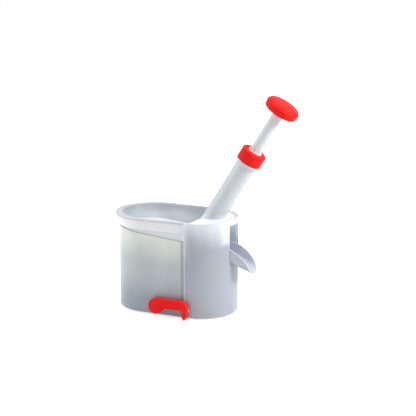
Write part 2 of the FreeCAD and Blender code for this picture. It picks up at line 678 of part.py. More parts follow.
# Deck: the plate over the chute end, moulded in one with the plunger's tube.
def make_deck():
    plate = new_body("DeckPlate")
    plan = new_sketch(plate, "XY_Plane", DECK_BOTTOM)
    bow = f"(({HOPPER_RADIUS} ^ 2 + deck_bow ^ 2) / (2 * deck_bow))"
    points = [
        (SEAM, f"-{HOPPER_RADIUS}"),
        (RIGHT_CENTRE, f"-{HOPPER_RADIUS}"),
        (RIGHT_CENTRE, HOPPER_RADIUS),
        (SEAM, HOPPER_RADIUS),
    ]
    arcs = {1: ("x", RIGHT_CENTRE, True), 3: ("x", f"{SEAM} + deck_bow - {bow}", False)}
    outline(plan, points, arcs)
    pad(plan, "deck_thickness")
    tube = new_body("Tube", tilted=True)
    points = [
        ("0", "-tube_below"),
        ("tube_radius", "-tube_below"),
        ("tube_radius", "tube_length - 2 * flange_thickness"),
        ("flange_radius", "tube_length - flange_thickness"),
        ("flange_radius", "tube_length"),
        ("neck_radius", "tube_length"),
        ("neck_radius", BUSH_SEAT),
        ("0", BUSH_SEAT),
    ]
    turned(tube, points)
    solid = boolean("Fuse", "DeckSolid", plate, tube)
    bore = new_body("TubeBore", tilted=True)
    points = [
        ("0", "-2 * tube_below"),
        ("tube_bore - tube_lip", "-2 * tube_below"),
        ("tube_bore - tube_lip", DISC_BOTTOM),
        ("tube_bore", DISC_BOTTOM),
        ("tube_bore", CAP_TOP),
        ("0", CAP_TOP),
    ]
    turned(bore, points)
    return keep(boolean("Cut", "Deck", solid, bore), "deck")


# Turned pieces on the plunger's axis.
def make_cap():
    body = new_body("Cap", tilted=True)
    points = [
        ("neck_radius + running_gap", "tube_length"),
        ("cap_radius - cap_edge / 3", "tube_length"),
        ("cap_radius", "tube_length + cap_edge / 3"),
        *eased("cap_radius", CAP_TOP, "cap_edge", -1, -1),
        ("cap_hole + cap_edge / 3", CAP_TOP),
        ("cap_hole", f"{CAP_TOP} - cap_edge / 3"),
        ("cap_hole", CAP_INSIDE),
        ("neck_radius + running_gap", CAP_INSIDE),
    ]
    turned(body, points)
    return keep(body, "tube_cap")


def make_bush():
    body = new_body("Bush", tilted=True)
    points = [
        ("stem_radius + running_gap", BUSH_SEAT),
        ("neck_radius", BUSH_SEAT),
        ("neck_radius", CAP_INSIDE),
        ("cap_hole - running_gap", CAP_INSIDE),
        ("cap_hole - running_gap", BUSH_TOP),
        ("stem_radius + running_gap", BUSH_TOP),
    ]
    turned(body, points)
    return keep(body, "guide_bush")


def make_stem():
    body = new_body("Stem", tilted=True)
    guide_end = f"({PISTON_BOTTOM} - guide_length)"
    points = [
        ("0", guide_end),
        ("guide_radius", guide_end),
        ("guide_radius", PISTON_BOTTOM),
        ("piston_radius", PISTON_BOTTOM),
        ("piston_radius", PISTON_TOP),
        ("stem_radius", PISTON_TOP),
        ("stem_radius", KNOB_BOTTOM),
        ("spigot_radius", KNOB_BOTTOM),
        ("spigot_radius", f"{KNOB_BOTTOM} + spigot_length"),
        ("0", f"{KNOB_BOTTOM} + spigot_length"),
    ]
    turned(body, points)
    socket = new_sketch(body, "XY_Plane", guide_end)
    circle(socket, "0", "0", "pin_radius")
    pocket(socket, "pin_socket", up=True)
    return keep(body, "plunger_stem")


def make_knob():
    body = new_body("Knob", tilted=True)
    top = f"({KNOB_BOTTOM} + knob_height)"
    shoulder = f"({top} - knob_crown)"
    points = [
        ("0", f"{KNOB_BOTTOM} + spigot_length"),
        ("spigot_radius", f"{KNOB_BOTTOM} + spigot_length"),
        ("spigot_radius", KNOB_BOTTOM),
        *reversed(eased("knob_radius", KNOB_BOTTOM, "knob_edge", -1, 1)),
        *eased("knob_radius", shoulder, "knob_edge", -1, -1),
        ("knob_radius / 2", f"{top} - knob_crown / 3"),
        ("0", top),
    ]
    turned(body, points)
    return keep(body, "plunger_knob")


def make_pin():
    body = new_body("Pin", tilted=True)
    guide_end = f"({PISTON_BOTTOM} - guide_length)"
    points = [
        ("0", f"{DISC_BOTTOM} + 1"),
        ("pin_radius - 1", DISC_BOTTOM),
        ("pin_radius", f"{DISC_BOTTOM} + 1"),
        ("pin_radius", f"{guide_end} + pin_socket"),
        ("0", f"{guide_end} + pin_socket"),
    ]
    turned(body, points)
    return keep(body, "pitting_pin")


def make_disc():
    body = new_body("Disc", tilted=True)
    points = [
        ("pin_radius + running_gap", DISC_BOTTOM),
        ("tube_bore - running_gap", DISC_BOTTOM),
        ("tube_bore - running_gap", DISC_TOP),
        ("pin_radius + running_gap", DISC_TOP),
    ]
    turned(body, points)
    return keep(body, "stripper_disc")


def make_cup():
    body = new_body("Cup", tilted=True)
    hollow = "(cup_inner - cup_hole)"
    points = [
        ("cup_hole", CUP_BOTTOM),
        ("cup_radius", CUP_BOTTOM),
        ("cup_radius", SOCKET_TOP),
        ("cup_flange", SOCKET_TOP),
        ("cup_flange", "-cup_rim"),
        ("cup_inner", "-cup_rim"),
        *eased("cup_inner", f"{CUP_BOTTOM} + wall", hollow, -1, 1),
    ]
    turned(body, points)
    return keep(body, "pitting_cup")


def make_gasket():
    body = new_body("Gasket", tilted=True)
    disc = new_sketch(body, "XY_Plane", GASKET_BOTTOM)
    circle(disc, "0", "0", "cup_radius - fit_gap")
    circle(disc, "0", "0", "pin_radius + slide_gap")
    pad(disc, "gasket_thickness")
    slit = new_sketch(body, "XY_Plane", GASKET_BOTTOM)
    rectangle(slit, "slit_end - cup_hole", "cup_hole - slit_end", "-slit_width / 2", "slit_width / 2")
    cut = pocket(slit, "gasket_thickness", up=True)
    star = body.newObject("PartDesign::PolarPattern", "GasketStar")
    star.Originals = [cut]
    star.Axis = (slit, ["N_Axis"])
    star.Angle = 180
    star.Mode = "Extent"
    star.Occurrences = 5
    body.Tip = star
    doc.recompute()
    return keep(body, "star_gasket")


def make_ring():
    body = new_body("Ring", tilted=True)
    points = [
        ("ring_inner", RING_BOTTOM),
        ("cup_flange", RING_BOTTOM),
        ("cup_flange", f"{SOCKET_TOP} - socket_height - fit_gap"),
        ("cup_radius + running_gap", f"{SOCKET_TOP} - socket_height - fit_gap"),
        ("cup_radius + running_gap", GASKET_BOTTOM),
        ("ring_inner", GASKET_BOTTOM),
    ]
    turned(body, points)
    return keep(body, "gasket_ring")


# Chute: a scoop lofted from the gate to the window and out to its rounded tip.
def trough(body, place, half, floor, corner, top="2 * rim_height"):
    """Sketch a U section of the chute at an X."""
    sketch = new_sketch(body, "YZ_Plane", place)
    points = [
        (f"-({half})", top),
        (f"-({half})", f"{floor} + {corner}"),
        (f"-({half}) + {corner}", floor),
        (f"{half} - {corner}", floor),
        (half, f"{floor} + {corner}"),
        (half, top),
    ]
    bottoms = {1: ("y", f"{floor} + {corner}", True), 3: ("y", f"{floor} + {corner}", True)}
    outline(sketch, points, bottoms)
    return sketch


def make_chute():
    body = new_body("Chute")
    sections = [
        (CHUTE_START, "chute_inner_half_width", "(chute_floor + chute_drop_inside)"),
        (RIGHT_END, "chute_half_width", "chute_floor"),
        (CHUTE_TIP, "chute_tip_half_width", "(chute_floor - chute_drop_outside)"),
    ]
    outer = [trough(body, x, half, low, "chute_corner") for x, half, low in sections]
    loft("Additive", outer)
    inner_corner = "(chute_corner - chute_wall)"
    inner = [
        trough(body, x, f"{half} - chute_wall", f"({low} + chute_wall)", inner_corner)
        for x, half, low in sections
    ]
    loft("Subtractive", inner)
    rim = new_sketch(body, "XZ_Plane", "body_width")
    tip = "(chute_floor - chute_drop_outside)"
    points = [
        (CHUTE_START, "3 * rim_height"),
        (CHUTE_START, "chute_rim_inside"),
        (f"{RIGHT_END} - chute_rim_start", "chute_rim_window"),
        (CHUTE_TIP, tip),
        (f"2 * {CHUTE_TIP}", tip),
        (f"2 * {CHUTE_TIP}", "3 * rim_height"),
    ]
    outline(rim, points, {2: ("x", f"{RIGHT_END} - chute_rim_centre", False)})
    pocket(rim, "2 * body_width")
    return keep(body, "discharge_chute")


# Stone drawer: the bin under the hopper, which slides out over the base tray.
def make_drawer():
    body = new_body("Drawer")
    right = f"({SEAM} - seam_gap)"
    plan = new_sketch(body, "XY_Plane", "foot_gap")
    points = [
        (LEFT_CENTRE, f"-{END_RADIUS}"),
        (right, f"-{END_RADIUS}"),
        (right, END_RADIUS),
        (LEFT_CENTRE, END_RADIUS),
    ]
    outline(plan, points, {3: ("x", LEFT_CENTRE, True)})
    pad(plan, "crease_height - foot_gap - seam_gap")
    bin_plan = new_sketch(body, "XY_Plane", "crease_height")
    inner_right = f"({right} - wall)"
    points = [
        (LEFT_CENTRE, f"-{INNER_RADIUS}"),
        (inner_right, f"-{INNER_RADIUS}"),
        (inner_right, INNER_RADIUS),
        (LEFT_CENTRE, INNER_RADIUS),
    ]
    outline(bin_plan, points, {3: ("x", LEFT_CENTRE, True)})
    pocket(bin_plan, "crease_height - floor_height - wall")
    under = new_sketch(body, "XY_Plane", "floor_height")
    points = [
        (LEFT_CENTRE, f"-{INNER_RADIUS}"),
        ("body_length", f"-{INNER_RADIUS}"),
        ("body_length", INNER_RADIUS),
        (LEFT_CENTRE, INNER_RADIUS),
    ]
    outline(under, points, {3: ("x", LEFT_CENTRE, True)})
    pocket(under, "floor_height")
    end = new_sketch(body, "YZ_Plane", f"{right} + wall")
    rectangle(end, f"-{INNER_RADIUS}", INNER_RADIUS, f"{RING_LOWEST} - drawer_end_gap", "rim_height")
    pocket(end, "3 * wall")
    slope = new_sketch(body, "XZ_Plane", "body_width")
    far = "(-2 * body_length)"
    close = "(hopper_right + wall)"
    points = [
        (far, drawer_edge(far)),
        (close, drawer_edge(close)),
        (close, drawer_edge(far)),
    ]
    outline(slope, points)
    pocket(slope, "2 * body_width")
    return keep(body, "stone_drawer")


# Base tray: the floor that closes the housing, with the suction well and the shaft's bearings under it.
def make_base():
    body = new_body("BaseSolid")
    plan = new_sketch(body, "XY_Plane", PLATE_BOTTOM)
    stadium(plan, LEFT_CENTRE, RIGHT_CENTRE, BASE_RADIUS)
    pad(plan, "base_plate")
    well = new_sketch(body, "XY_Plane", "foot_gap + wall")
    circle(well, "0", "0", "well_radius + well_wall")
    circle(well, "0", "0", "well_radius")
    pad(well, f"{PLATE_BOTTOM} - foot_gap - wall")
    posts = new_sketch(body, "XY_Plane", "post_bottom")
    for x, y in boss_places():
        circle(posts, x, y, f"({BASE_RADIUS} - {BOSS_PLACE} - fit_gap)")
    pad(posts, f"{PLATE_BOTTOM} - post_bottom")
    for near_edge in ("-(cam_length / 2 + ear_gap + ear_thickness)", "(cam_length / 2 + ear_gap)"):
        ear = new_sketch(body, "XY_Plane", "ear_bottom")
        rectangle(ear, "-ear_half_width", "ear_half_width", near_edge, f"{near_edge} + ear_thickness")
        pad(ear, f"{PLATE_BOTTOM} - ear_bottom")
    front = new_sketch(body, "XY_Plane", "ear_bottom")
    rectangle(front, "-ear_half_width", "ear_half_width", f"-({BASE_RADIUS} - wall / 2)", "-well_radius")
    pad(front, f"{PLATE_BOTTOM} - ear_bottom")
    window = new_sketch(body, "XY_Plane", BASE_TOP)
    half_x = "(cam_radius + cam_throw + yoke_wall + yoke_room)"
    half_y = "(cam_length / 2 + yoke_room)"
    rectangle(window, f"-{half_x}", half_x, f"-{half_y}", half_y)
    pocket(window, "rim_height")
    bearing = new_sketch(body, "XZ_Plane", "body_width")
    circle(bearing, "0", "shaft_height", "shaft_radius + running_gap")
    pocket(bearing, "body_width + shaft_end")
    bores = new_body("BaseBores")
    shanks = new_sketch(bores, "XY_Plane", BASE_TOP)
    for x, y in boss_places():
        circle(shanks, x, y, "screw_radius + fit_gap")
    pad(shanks, BASE_TOP, down=True)
    heads = new_sketch(bores, "XY_Plane", "post_bottom")
    for x, y in boss_places():
        circle(heads, x, y, "screw_head + fit_gap")
    pad(heads, "post_bottom", down=True)
    return keep(boolean("Cut", "Base", body, bores), "base_tray")


def make_screws():
    body = new_body("Screws")
    heads = new_sketch(body, "XY_Plane", "post_bottom - screw_head_height")
    for x, y in boss_places():
        circle(heads, x, y, "screw_head")
    pad(heads, "screw_head_height")
    shanks = new_sketch(body, "XY_Plane", "post_bottom")
    for x, y in boss_places():
        circle(shanks, x, y, "screw_radius")
    pad(shanks, f"{BASE_TOP} + screw_bite - post_bottom")
    return keep(body, "base_screws")


# Suction foot: rubber cup, stud, and the cam shaft that lifts the stud.
def make_suction_cup():
    body = new_body("SuctionCup")
    points = [
        ("0", "0"),
        ("cup_foot_radius", "0"),
        ("cup_foot_radius", "cup_foot_edge"),
        ("cup_boss_radius + cup_boss_foot", "cup_foot_crown"),
        ("cup_boss_radius", "cup_foot_crown"),
        ("cup_boss_radius", "cup_boss_height"),
        ("stud_neck + fit_gap", "cup_boss_height"),
        ("stud_neck + fit_gap", "stud_flange_bottom + stud_flange_thickness + fit_gap"),
        ("stud_flange_radius + fit_gap", "stud_flange_bottom + stud_flange_thickness + fit_gap"),
        ("stud_flange_radius + fit_gap", "stud_flange_bottom - fit_gap"),
        ("0", "stud_flange_bottom - fit_gap"),
    ]
    turned(body, points)
    return keep(body, "suction_cup")


def make_stud():
    body = new_body("Stud")
    points = [
        ("0", "stud_flange_bottom"),
        ("stud_flange_radius", "stud_flange_bottom"),
        ("stud_flange_radius", "stud_flange_bottom + stud_flange_thickness"),
        ("stud_neck", "stud_flange_bottom + stud_flange_thickness"),
        ("stud_neck", "cup_boss_height + fit_gap"),
        ("0", "cup_boss_height + fit_gap"),
    ]
    turned(body, points)
    drop = "(cam_throw * sin(45))"
    half_x = "(cam_radius + cam_throw + cam_gap + yoke_wall)"
    low = f"(shaft_height - {drop} - cam_radius - cam_gap - yoke_wall)"
    high = f"(shaft_height - {drop} + cam_radius + cam_gap + yoke_wall)"
    head = new_sketch(body, "XZ_Plane", "cam_length / 2")
    rectangle(head, f"-{half_x}", half_x, low, high)
    pad(head, "cam_length", down=True)
    eye = new_sketch(body, "XZ_Plane", "cam_length")
    rectangle(eye, f"-{half_x} + yoke_wall", f"{half_x} - yoke_wall", f"{low} + yoke_wall", f"{high} - yoke_wall")
    pocket(eye, "2 * cam_length")
    return keep(body, "suction_stud")


def make_shaft():
    body = new_body("Shaft")
    rod = new_sketch(body, "XZ_Plane", LEVER_BACK)
    circle(rod, "0", "shaft_height", "shaft_radius")
    pad(rod, f"{LEVER_BACK} + shaft_end", down=True)
    tenon = new_sketch(body, "XZ_Plane", LEVER_BACK)
    circle(tenon, "0", "shaft_height", "tenon_radius")
    pad(tenon, "tenon_length")
    cam = new_sketch(body, "XZ_Plane", "cam_length / 2")
    drop = "(cam_throw * sin(45))"
    circle(cam, f"-{drop}", f"shaft_height - {drop}", "cam_radius")
    pad(cam, "cam_length", down=True)
    return keep(body, "cam_shaft")


def make_lever():
    body = new_body("Lever")
    half = "(lever_leg / 2)"
    arm_low = "(lever_top - lever_arm)"
    pad_height = "(lever_top - thumb_radius)"
    pad_end = "(-lever_reach)"
    side = new_sketch(body, "XZ_Plane", LEVER_BACK)
    chord = f"sqrt(thumb_radius ^ 2 - ({arm_low} - {pad_height}) ^ 2)"
    points = [
        (pad_end, "lever_top"),
        (f"{pad_end} + {chord}", arm_low),
        (f"-{half}", arm_low),
        (f"-{half}", "lever_tip + lever_point"),
        ("0", "lever_tip"),
        (half, "lever_tip + lever_point"),
        (half, "lever_top - elbow_radius"),
        (f"{half} - elbow_radius", "lever_top"),
    ]
    arcs = {0: ("x", pad_end, True), 6: ("x", f"{half} - elbow_radius", True)}
    outline(side, points, arcs)
    plate = pad(side, "lever_thickness")
    front = -number(LEVER_FRONT)
    rounded(plate, "lever_edge", lambda edge, mid: near(mid.y, front), kind="Chamfer")
    socket = new_sketch(body, "XZ_Plane", LEVER_BACK)
    circle(socket, "0", "shaft_height", "tenon_radius")
    pocket(socket, "tenon_length", up=True)
    return keep(body, "suction_lever")


def make_return_spring():
    """Wind the spring as one tube along a helix made of arcs, and measure its least gap to itself."""
    turns = int(number("spring_turns"))
    radius = number("spring_radius")
    wire = number("wire_radius")
    low = number(DISC_TOP) + wire + number("slide_gap")
    high = number(PISTON_BOTTOM) - wire - number("slide_gap")
    quarters = 2 * turns
    rise = (high - low) / (2 * math.pi * turns)

    def spot(angle):
        return Vector(radius * math.cos(angle), radius * math.sin(angle), low + rise * angle)

    def heading(angle):
        return Vector(-radius * math.sin(angle), radius * math.cos(angle), rise).normalize()

    edges = []
    for index in range(quarters):
        first, last = index * math.pi, (index + 1) * math.pi
        edges += biarc(spot(first), heading(first), spot(last), heading(last))
    path = Part.Wire(edges)
    profile = Part.Wire(Part.Circle(spot(0), heading(0), wire).toShape())
    shape = path.makePipeShell([profile], True, False)
    samples = [spot(2 * math.pi * step / 24) for step in range(24 * turns)]
    gap = min((a - b).Length for i, a in enumerate(samples) for b in samples[i + 12:]) - 2 * wire
    print(f"return_spring: {turns} turns, least gap to itself {gap:.2f} mm")
    spring = doc.addObject("Part::Feature", "Spring")
    spring.Shape = shape
    tilt_about_foot(spring)
    return keep(spring, "return_spring")


def biarc(start, start_heading, end, end_heading):
    """Return two arcs that join two points and follow a heading at each of them."""
    chord = end - start
    both = start_heading + end_heading
    turn = 2 * (1 - start_heading.dot(end_heading))
    reach = (-chord.dot(both) + math.sqrt(chord.dot(both) ** 2 + turn * chord.dot(chord))) / turn
    first = start + start_heading * reach
    second = end - end_heading * reach
    joint = (first + second) * 0.5
    return [tangent_arc(start, start_heading, joint), tangent_arc(end, end_heading * -1, joint)]


def tangent_arc(start, heading, end):
    """Return the arc that leaves one point along a heading and ends at another."""
    chord = end - start
    normal = (chord - heading * chord.dot(heading)).normalize()
    radius = chord.dot(chord) / (2 * chord.dot(normal))
    centre = start + normal * radius
    middle = centre + ((start + end) * 0.5 - centre).normalize() * radius
    return Part.Arc(start, middle, end).toShape()


def check_document():
    """Stop if an object failed or a sub-part's shape is missing or invalid."""
    for item in doc.Objects:
        if "Invalid" in item.State or "Error" in item.State:
            raise RuntimeError(f"{item.Label} did not recompute: {item.State}")
    for item in PARTS:
        if item.Shape.isNull() or not item.Shape.isValid():
            raise RuntimeError(f"{item.Label} has no valid shape")


MAKERS = [
    make_housing,
    make_hopper,
    make_deck,
    make_cap,
    make_bush,
    make_stem,
    make_knob,
    make_pin,
    make_disc,
    make_return_spring,
    make_cup,
    make_gasket,
    make_ring,
    make_chute,
    make_drawer,
    make_base,
    make_screws,
    make_suction_cup,
    make_stud,
    make_shaft,
    make_lever,
]

for maker in MAKERS:
    made = maker()
    doc.recompute()
    box = made.Shape.BoundBox
    print(
        f"{made.Label}: {len(made.Shape.Solids)} solids, {made.Shape.Volume:.0f} mm3, "
        f"x {box.XMin:.1f} to {box.XMax:.1f}, y {box.YMin:.1f} to {box.YMax:.1f}, z {box.ZMin:.1f} to {box.ZMax:.1f}"
    )

check_document()
os.makedirs("parts", exist_ok=True)
for item in PARTS:
    item.Shape.exportStep(f"parts/{item.Label}.step")
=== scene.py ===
import logging
import math
from collections.abc import Callable, Mapping, Sequence
from dataclasses import dataclass
from enum import Enum
from functools import reduce
from typing import ClassVar

import bmesh
import bpy
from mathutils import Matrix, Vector

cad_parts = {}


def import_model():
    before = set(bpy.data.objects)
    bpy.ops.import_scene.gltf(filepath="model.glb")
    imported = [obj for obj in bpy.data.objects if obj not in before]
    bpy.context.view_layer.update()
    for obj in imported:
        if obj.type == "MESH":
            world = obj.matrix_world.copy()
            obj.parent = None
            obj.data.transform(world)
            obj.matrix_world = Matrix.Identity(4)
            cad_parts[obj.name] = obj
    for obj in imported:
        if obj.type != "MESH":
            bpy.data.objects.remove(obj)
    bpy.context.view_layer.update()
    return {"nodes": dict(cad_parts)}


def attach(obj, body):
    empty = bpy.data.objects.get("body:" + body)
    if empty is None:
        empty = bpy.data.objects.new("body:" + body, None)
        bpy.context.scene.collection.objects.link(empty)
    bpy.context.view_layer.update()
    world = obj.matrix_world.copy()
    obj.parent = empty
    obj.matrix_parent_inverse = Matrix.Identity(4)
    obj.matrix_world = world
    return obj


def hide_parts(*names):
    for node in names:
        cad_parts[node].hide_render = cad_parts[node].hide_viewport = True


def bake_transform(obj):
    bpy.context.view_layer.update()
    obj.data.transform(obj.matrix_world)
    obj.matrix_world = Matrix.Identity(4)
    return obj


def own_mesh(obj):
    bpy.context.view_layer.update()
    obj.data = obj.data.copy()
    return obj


log = logging.getLogger("cherry_pitter")

MM = 0.001
RGB = tuple[float, float, float]
Socket = bpy.types.NodeSocket


class Body(Enum):
    """The moving bodies of the pitter."""

    HOUSING = "housing"
    PLUNGER = "plunger"
    DRAWER = "drawer"
    LEVER = "lever"
    STUD = "stud"


class Slot(Enum):
    """The finishes that a scene may repaint."""

    FROSTED_WHITE = "frosted_white"
    TRANSLUCENT_DRAWER = "translucent_drawer"
    WHITE_BEARING = "white_bearing"
    RED_GLOSS = "red_gloss"
    STAINLESS = "stainless"
    RUBBER_CLEAR = "rubber_clear"
    RUBBER_FOOT = "rubber_foot"


def linear(red: int, green: int, blue: int) -> RGB:
    """A colour as a painter writes it, on a scale of 0 to 255, turned to linear light.

    Args:
        red: The red share.
        green: The green share.
        blue: The blue share.

    Returns:
        The three linear shares, 0 to 1.
    """
    shares = []
    for value in (red, green, blue):
        share = value / 255
        shares.append(share / 12.92 if share <= 0.04045 else ((share + 0.055) / 1.055) ** 2.4)
    return shares[0], shares[1], shares[2]


class Shading:
    """A node tree with short ways to add, feed and join its nodes."""

    def __init__(self, tree: bpy.types.NodeTree) -> None:
        """Takes the tree and empties it."""
        self.tree = tree
        tree.nodes.clear()

    def add(self, kind: str, inputs: dict[str | int, object] | None = None, **settings: object) -> bpy.types.Node:
        """Adds a node, sets its properties and feeds its inputs.

        Args:
            kind: The node's type without its ShaderNode prefix.
            inputs: What goes into it, by the input's name or number.
            settings: Properties of the node.

        Returns:
            The new node.
        """
        prefix = "" if kind.startswith("NodeGroup") else "ShaderNode"
        node = self.tree.nodes.new(prefix + kind)
        for name, value in settings.items():
            setattr(node, name, value)
        self.fill(node, inputs or {})
        return node

    def fill(self, node: bpy.types.Node, inputs: dict[str | int, object]) -> None:
        """Feeds inputs of a node, each by its name or number."""
        for name, value in inputs.items():
            self.feed(node.inputs[name], value)

    def feed(self, target: Socket, value: object) -> None:
        """Gives an input what it takes.

        Args:
            target: The input.
            value: A socket to join to it, or a number, a vector or a colour of three numbers to set.
        """
        if isinstance(value, bpy.types.NodeSocket):
            self.tree.links.new(value, target)
        elif target.type == "RGBA":
            target.default_value = (*value, 1.0)
        else:
            target.default_value = value

    def maths(self, operation: str, first: object, second: object = 0.0) -> Socket:
        """Adds a sum of two values, named as the Math node has it, and gives its result."""
        return self.add("Math", {0: first, 1: second}, operation=operation).outputs[0]

    def product(self, *values: object) -> Socket:
        """Multiplies sockets and numbers."""
        return reduce(lambda first, second: self.maths("MULTIPLY", first, second), values)

    def ranged(self, value: Socket, low: object, high: object, to_low: float = 0.0, to_high: float = 1.0) -> Socket:
        """Maps a value smoothly from the range low to high to the range to_low to to_high."""
        inputs = {"Value": value, "From Min": low, "From Max": high, "To Min": to_low, "To Max": to_high}
        return self.add("MapRange", inputs, interpolation_type="SMOOTHSTEP").outputs["Result"]

    def blended(self, share: object, first: object, second: object) -> Socket:
        """Mixes two colours, where the share is how much of the second shows."""
        return self.add("Mix", {0: share, 6: first, 7: second}, data_type="RGBA").outputs[2]

    def mixed(self, share: Socket, first: Socket, second: Socket) -> Socket:
        """Mixes two shaders, where the share is how much of the second shows."""
        return self.add("MixShader", {0: share, 1: first, 2: second}).outputs[0]

    def noise(self, where: Socket, scale: object, detail: float) -> Socket:
        """Adds a noise texture and gives its value."""
        return self.add("TexNoise", {"Vector": where, "Scale": scale, "Detail": detail}).outputs["Fac"]

    def mapped(self, where: Socket, scale: RGB, rotation: RGB = (0.0, 0.0, 0.0)) -> Socket:
        """Turns and stretches a place."""
        return self.add("Mapping", {"Vector": where, "Rotation": rotation, "Scale": scale}).outputs["Vector"]

    def place(self) -> Socket:
        """Gives the place on the piece, in metres."""
        return self.add("TexCoord").outputs["Object"]

    def split(self) -> tuple[Socket, ...]:
        """Gives the place on the piece as its X, Y and Z."""
        return tuple(self.add("SeparateXYZ", {0: self.place()}).outputs)

    def looked_at(self) -> Socket:
        """Tells the rays that look at a thing, straight, in a gloss or through a clear one, from those that light.

        Returns:
            The socket, 0 for a ray that only lights.
        """
        rays = self.add("LightPath").outputs
        seen = self.maths("ADD", rays["Is Camera Ray"], rays["Is Glossy Ray"])
        return self.maths("ADD", seen, rays["Is Transmission Ray"])


class Effect(Shading):
    """A shader node group that several finishes share, built the first time it is asked for."""

    name: ClassVar[str] = ""
    inputs: ClassVar[dict[str, float | RGB]] = {}
    outputs: ClassVar[tuple[str, ...]] = ("Mask",)

    def __init__(self) -> None:
        """Finds the group, or builds it."""
        if self.name in bpy.data.node_groups:
            self.tree = bpy.data.node_groups[self.name]
            return
        tree = bpy.data.node_groups.new(self.name, "ShaderNodeTree")
        for label, default in self.inputs.items():
            coloured = isinstance(default, tuple)
            kind = "NodeSocketColor" if coloured else "NodeSocketFloat"
            socket = tree.interface.new_socket(label, in_out="INPUT", socket_type=kind)
            socket.default_value = (*default, 1.0) if coloured else default
        kinds = {"Color": "NodeSocketColor", "Normal": "NodeSocketVector"}
        for label in self.outputs:
            tree.interface.new_socket(label, in_out="OUTPUT", socket_type=kinds.get(label, "NodeSocketFloat"))
        super().__init__(tree)
        self.given = self.add("NodeGroupInput").outputs
        self.join()

    def join(self) -> None:
        """Joins the group's nodes; each effect has its own."""
        raise NotImplementedError

    def give(self, *values: Socket) -> None:
        """Gives what goes out of the group, in the order of outputs."""
        self.add("NodeGroupOutput", dict(zip(self.outputs, values)))


class MouldedSkin(Effect):
    """The fine texture of moulded plastic: grain, slow flow marks and a roughness that drifts."""

    name = "moulded_skin"
    inputs = {"Grain Scale": 2600.0, "Flow Scale": 45.0, "Roughness": 0.35, "Spread": 0.08}
    outputs = ("Height", "Flow", "Roughness")
    stretch = (1.0, 1.0, 0.35)
    flow_height = 0.6
    marks = (0.3, 0.7)

    def join(self) -> None:
        """Joins the grain and the flow marks."""
        place, spread = self.place(), self.given["Spread"]
        grain = self.noise(place, self.given["Grain Scale"], detail=3.0)
        flow = self.noise(self.mapped(place, self.stretch), self.given["Flow Scale"], detail=4.0)
        drift = self.product(self.maths("SUBTRACT", flow, 0.5), spread)
        speck = self.product(self.maths("SUBTRACT", grain, 0.5), spread)
        self.give(self.maths("ADD", grain, self.product(flow, self.flow_height)), self.ranged(flow, *self.marks),
                  self.maths("ADD", self.given["Roughness"], self.maths("ADD", drift, speck)))


class HandlingMarks(Effect):
    """Hairline scuffs and dull patches that hands and washing leave."""

    name = "handling_marks"
    inputs = {"Scale": 60.0, "Amount": 0.5}
    outputs = ("Mask", "Height")
    stretch = (1.0, 14.0, 1.0)
    turn = (0.5, 0.7, 0.3)
    hairs = (0.64, 0.72)
    patches = (0.52, 0.66)

    def join(self) -> None:
        """Joins the hairlines and the patches where they show."""
        place, scale = self.place(), self.given["Scale"]
        hair = self.ranged(self.noise(self.mapped(place, self.stretch, self.turn), scale, detail=5.0), *self.hairs)
        patch = self.ranged(self.noise(place, scale, detail=2.0), *self.patches)
        mask = self.product(hair, patch, self.given["Amount"])
        self.give(mask, self.product(mask, -1.0))


class SoftEdges(Effect):
    """Rounds the moulded edges for the light, and marks them for a paler colour: painted highlight on the plastics,
    wear on the steel and bloom on the rubber.
    """

    name = "soft_edges"
    inputs = {"Radius": 0.0006, "Amount": 0.5}
    outputs = ("Normal", "Mask")
    turned = (0.995, 0.8)

    def join(self) -> None:
        """Joins the rounded normal and the mask of where it turns from the plain one."""
        bevel = self.add("Bevel", {"Radius": self.given["Radius"]}, samples=4).outputs["Normal"]
        plain = self.add("NewGeometry").outputs["Normal"]
        likeness = self.add("VectorMath", {0: bevel, 1: plain}, operation="DOT_PRODUCT").outputs["Value"]
        self.give(bevel, self.product(self.ranged(likeness, *self.turned), self.given["Amount"]))


class CreaseShadow(Effect):
    """Marks a soft line of painted shadow along a crease at a height, up to where it ends along X."""

    name = "crease_shadow"
    inputs = {"Height": 0.1145, "Width": 0.0013, "End": 0.0, "Amount": 0.5}

    def join(self) -> None:
        """Joins the line and its end."""
        x, _, z = self.split()
        away = self.maths("ABSOLUTE", self.maths("SUBTRACT", z, self.given["Height"]))
        line = self.ranged(away, self.given["Width"], 0.0)
        self.give(self.product(line, self.maths("LESS_THAN", x, self.given["End"]), self.given["Amount"]))


class LightInside(Effect):
    """Marks the faces inside the housing's round end, which glow with painted light for the light that comes through
    the milky wall.
    """

    name = "light_inside"
    inputs = {"Wall": 0.0474, "Centre": 0.001, "Ceiling": 0.1244, "Floor": 0.064, "Start": 0.008}
    ramp = 0.0014
    rise = 0.02

    def join(self) -> None:
        """Joins the limits at the wall, the ceiling, the floor and the start."""
        x, y, z = self.split()
        floor, start = self.given["Floor"], self.given["Start"]
        ahead = self.maths("MAXIMUM", self.maths("SUBTRACT", x, self.given["Centre"]), 0.0)
        spread = self.maths("ADD", self.product(ahead, ahead), self.product(y, y))
        inner = self.maths("LESS_THAN", self.maths("SQRT", spread), self.given["Wall"])
        under = self.maths("LESS_THAN", z, self.given["Ceiling"])
        over = self.ranged(z, floor, self.maths("ADD", floor, self.rise))
        self.give(self.product(inner, under, over, self.ranged(x, start, self.maths("ADD", start, self.ramp))))


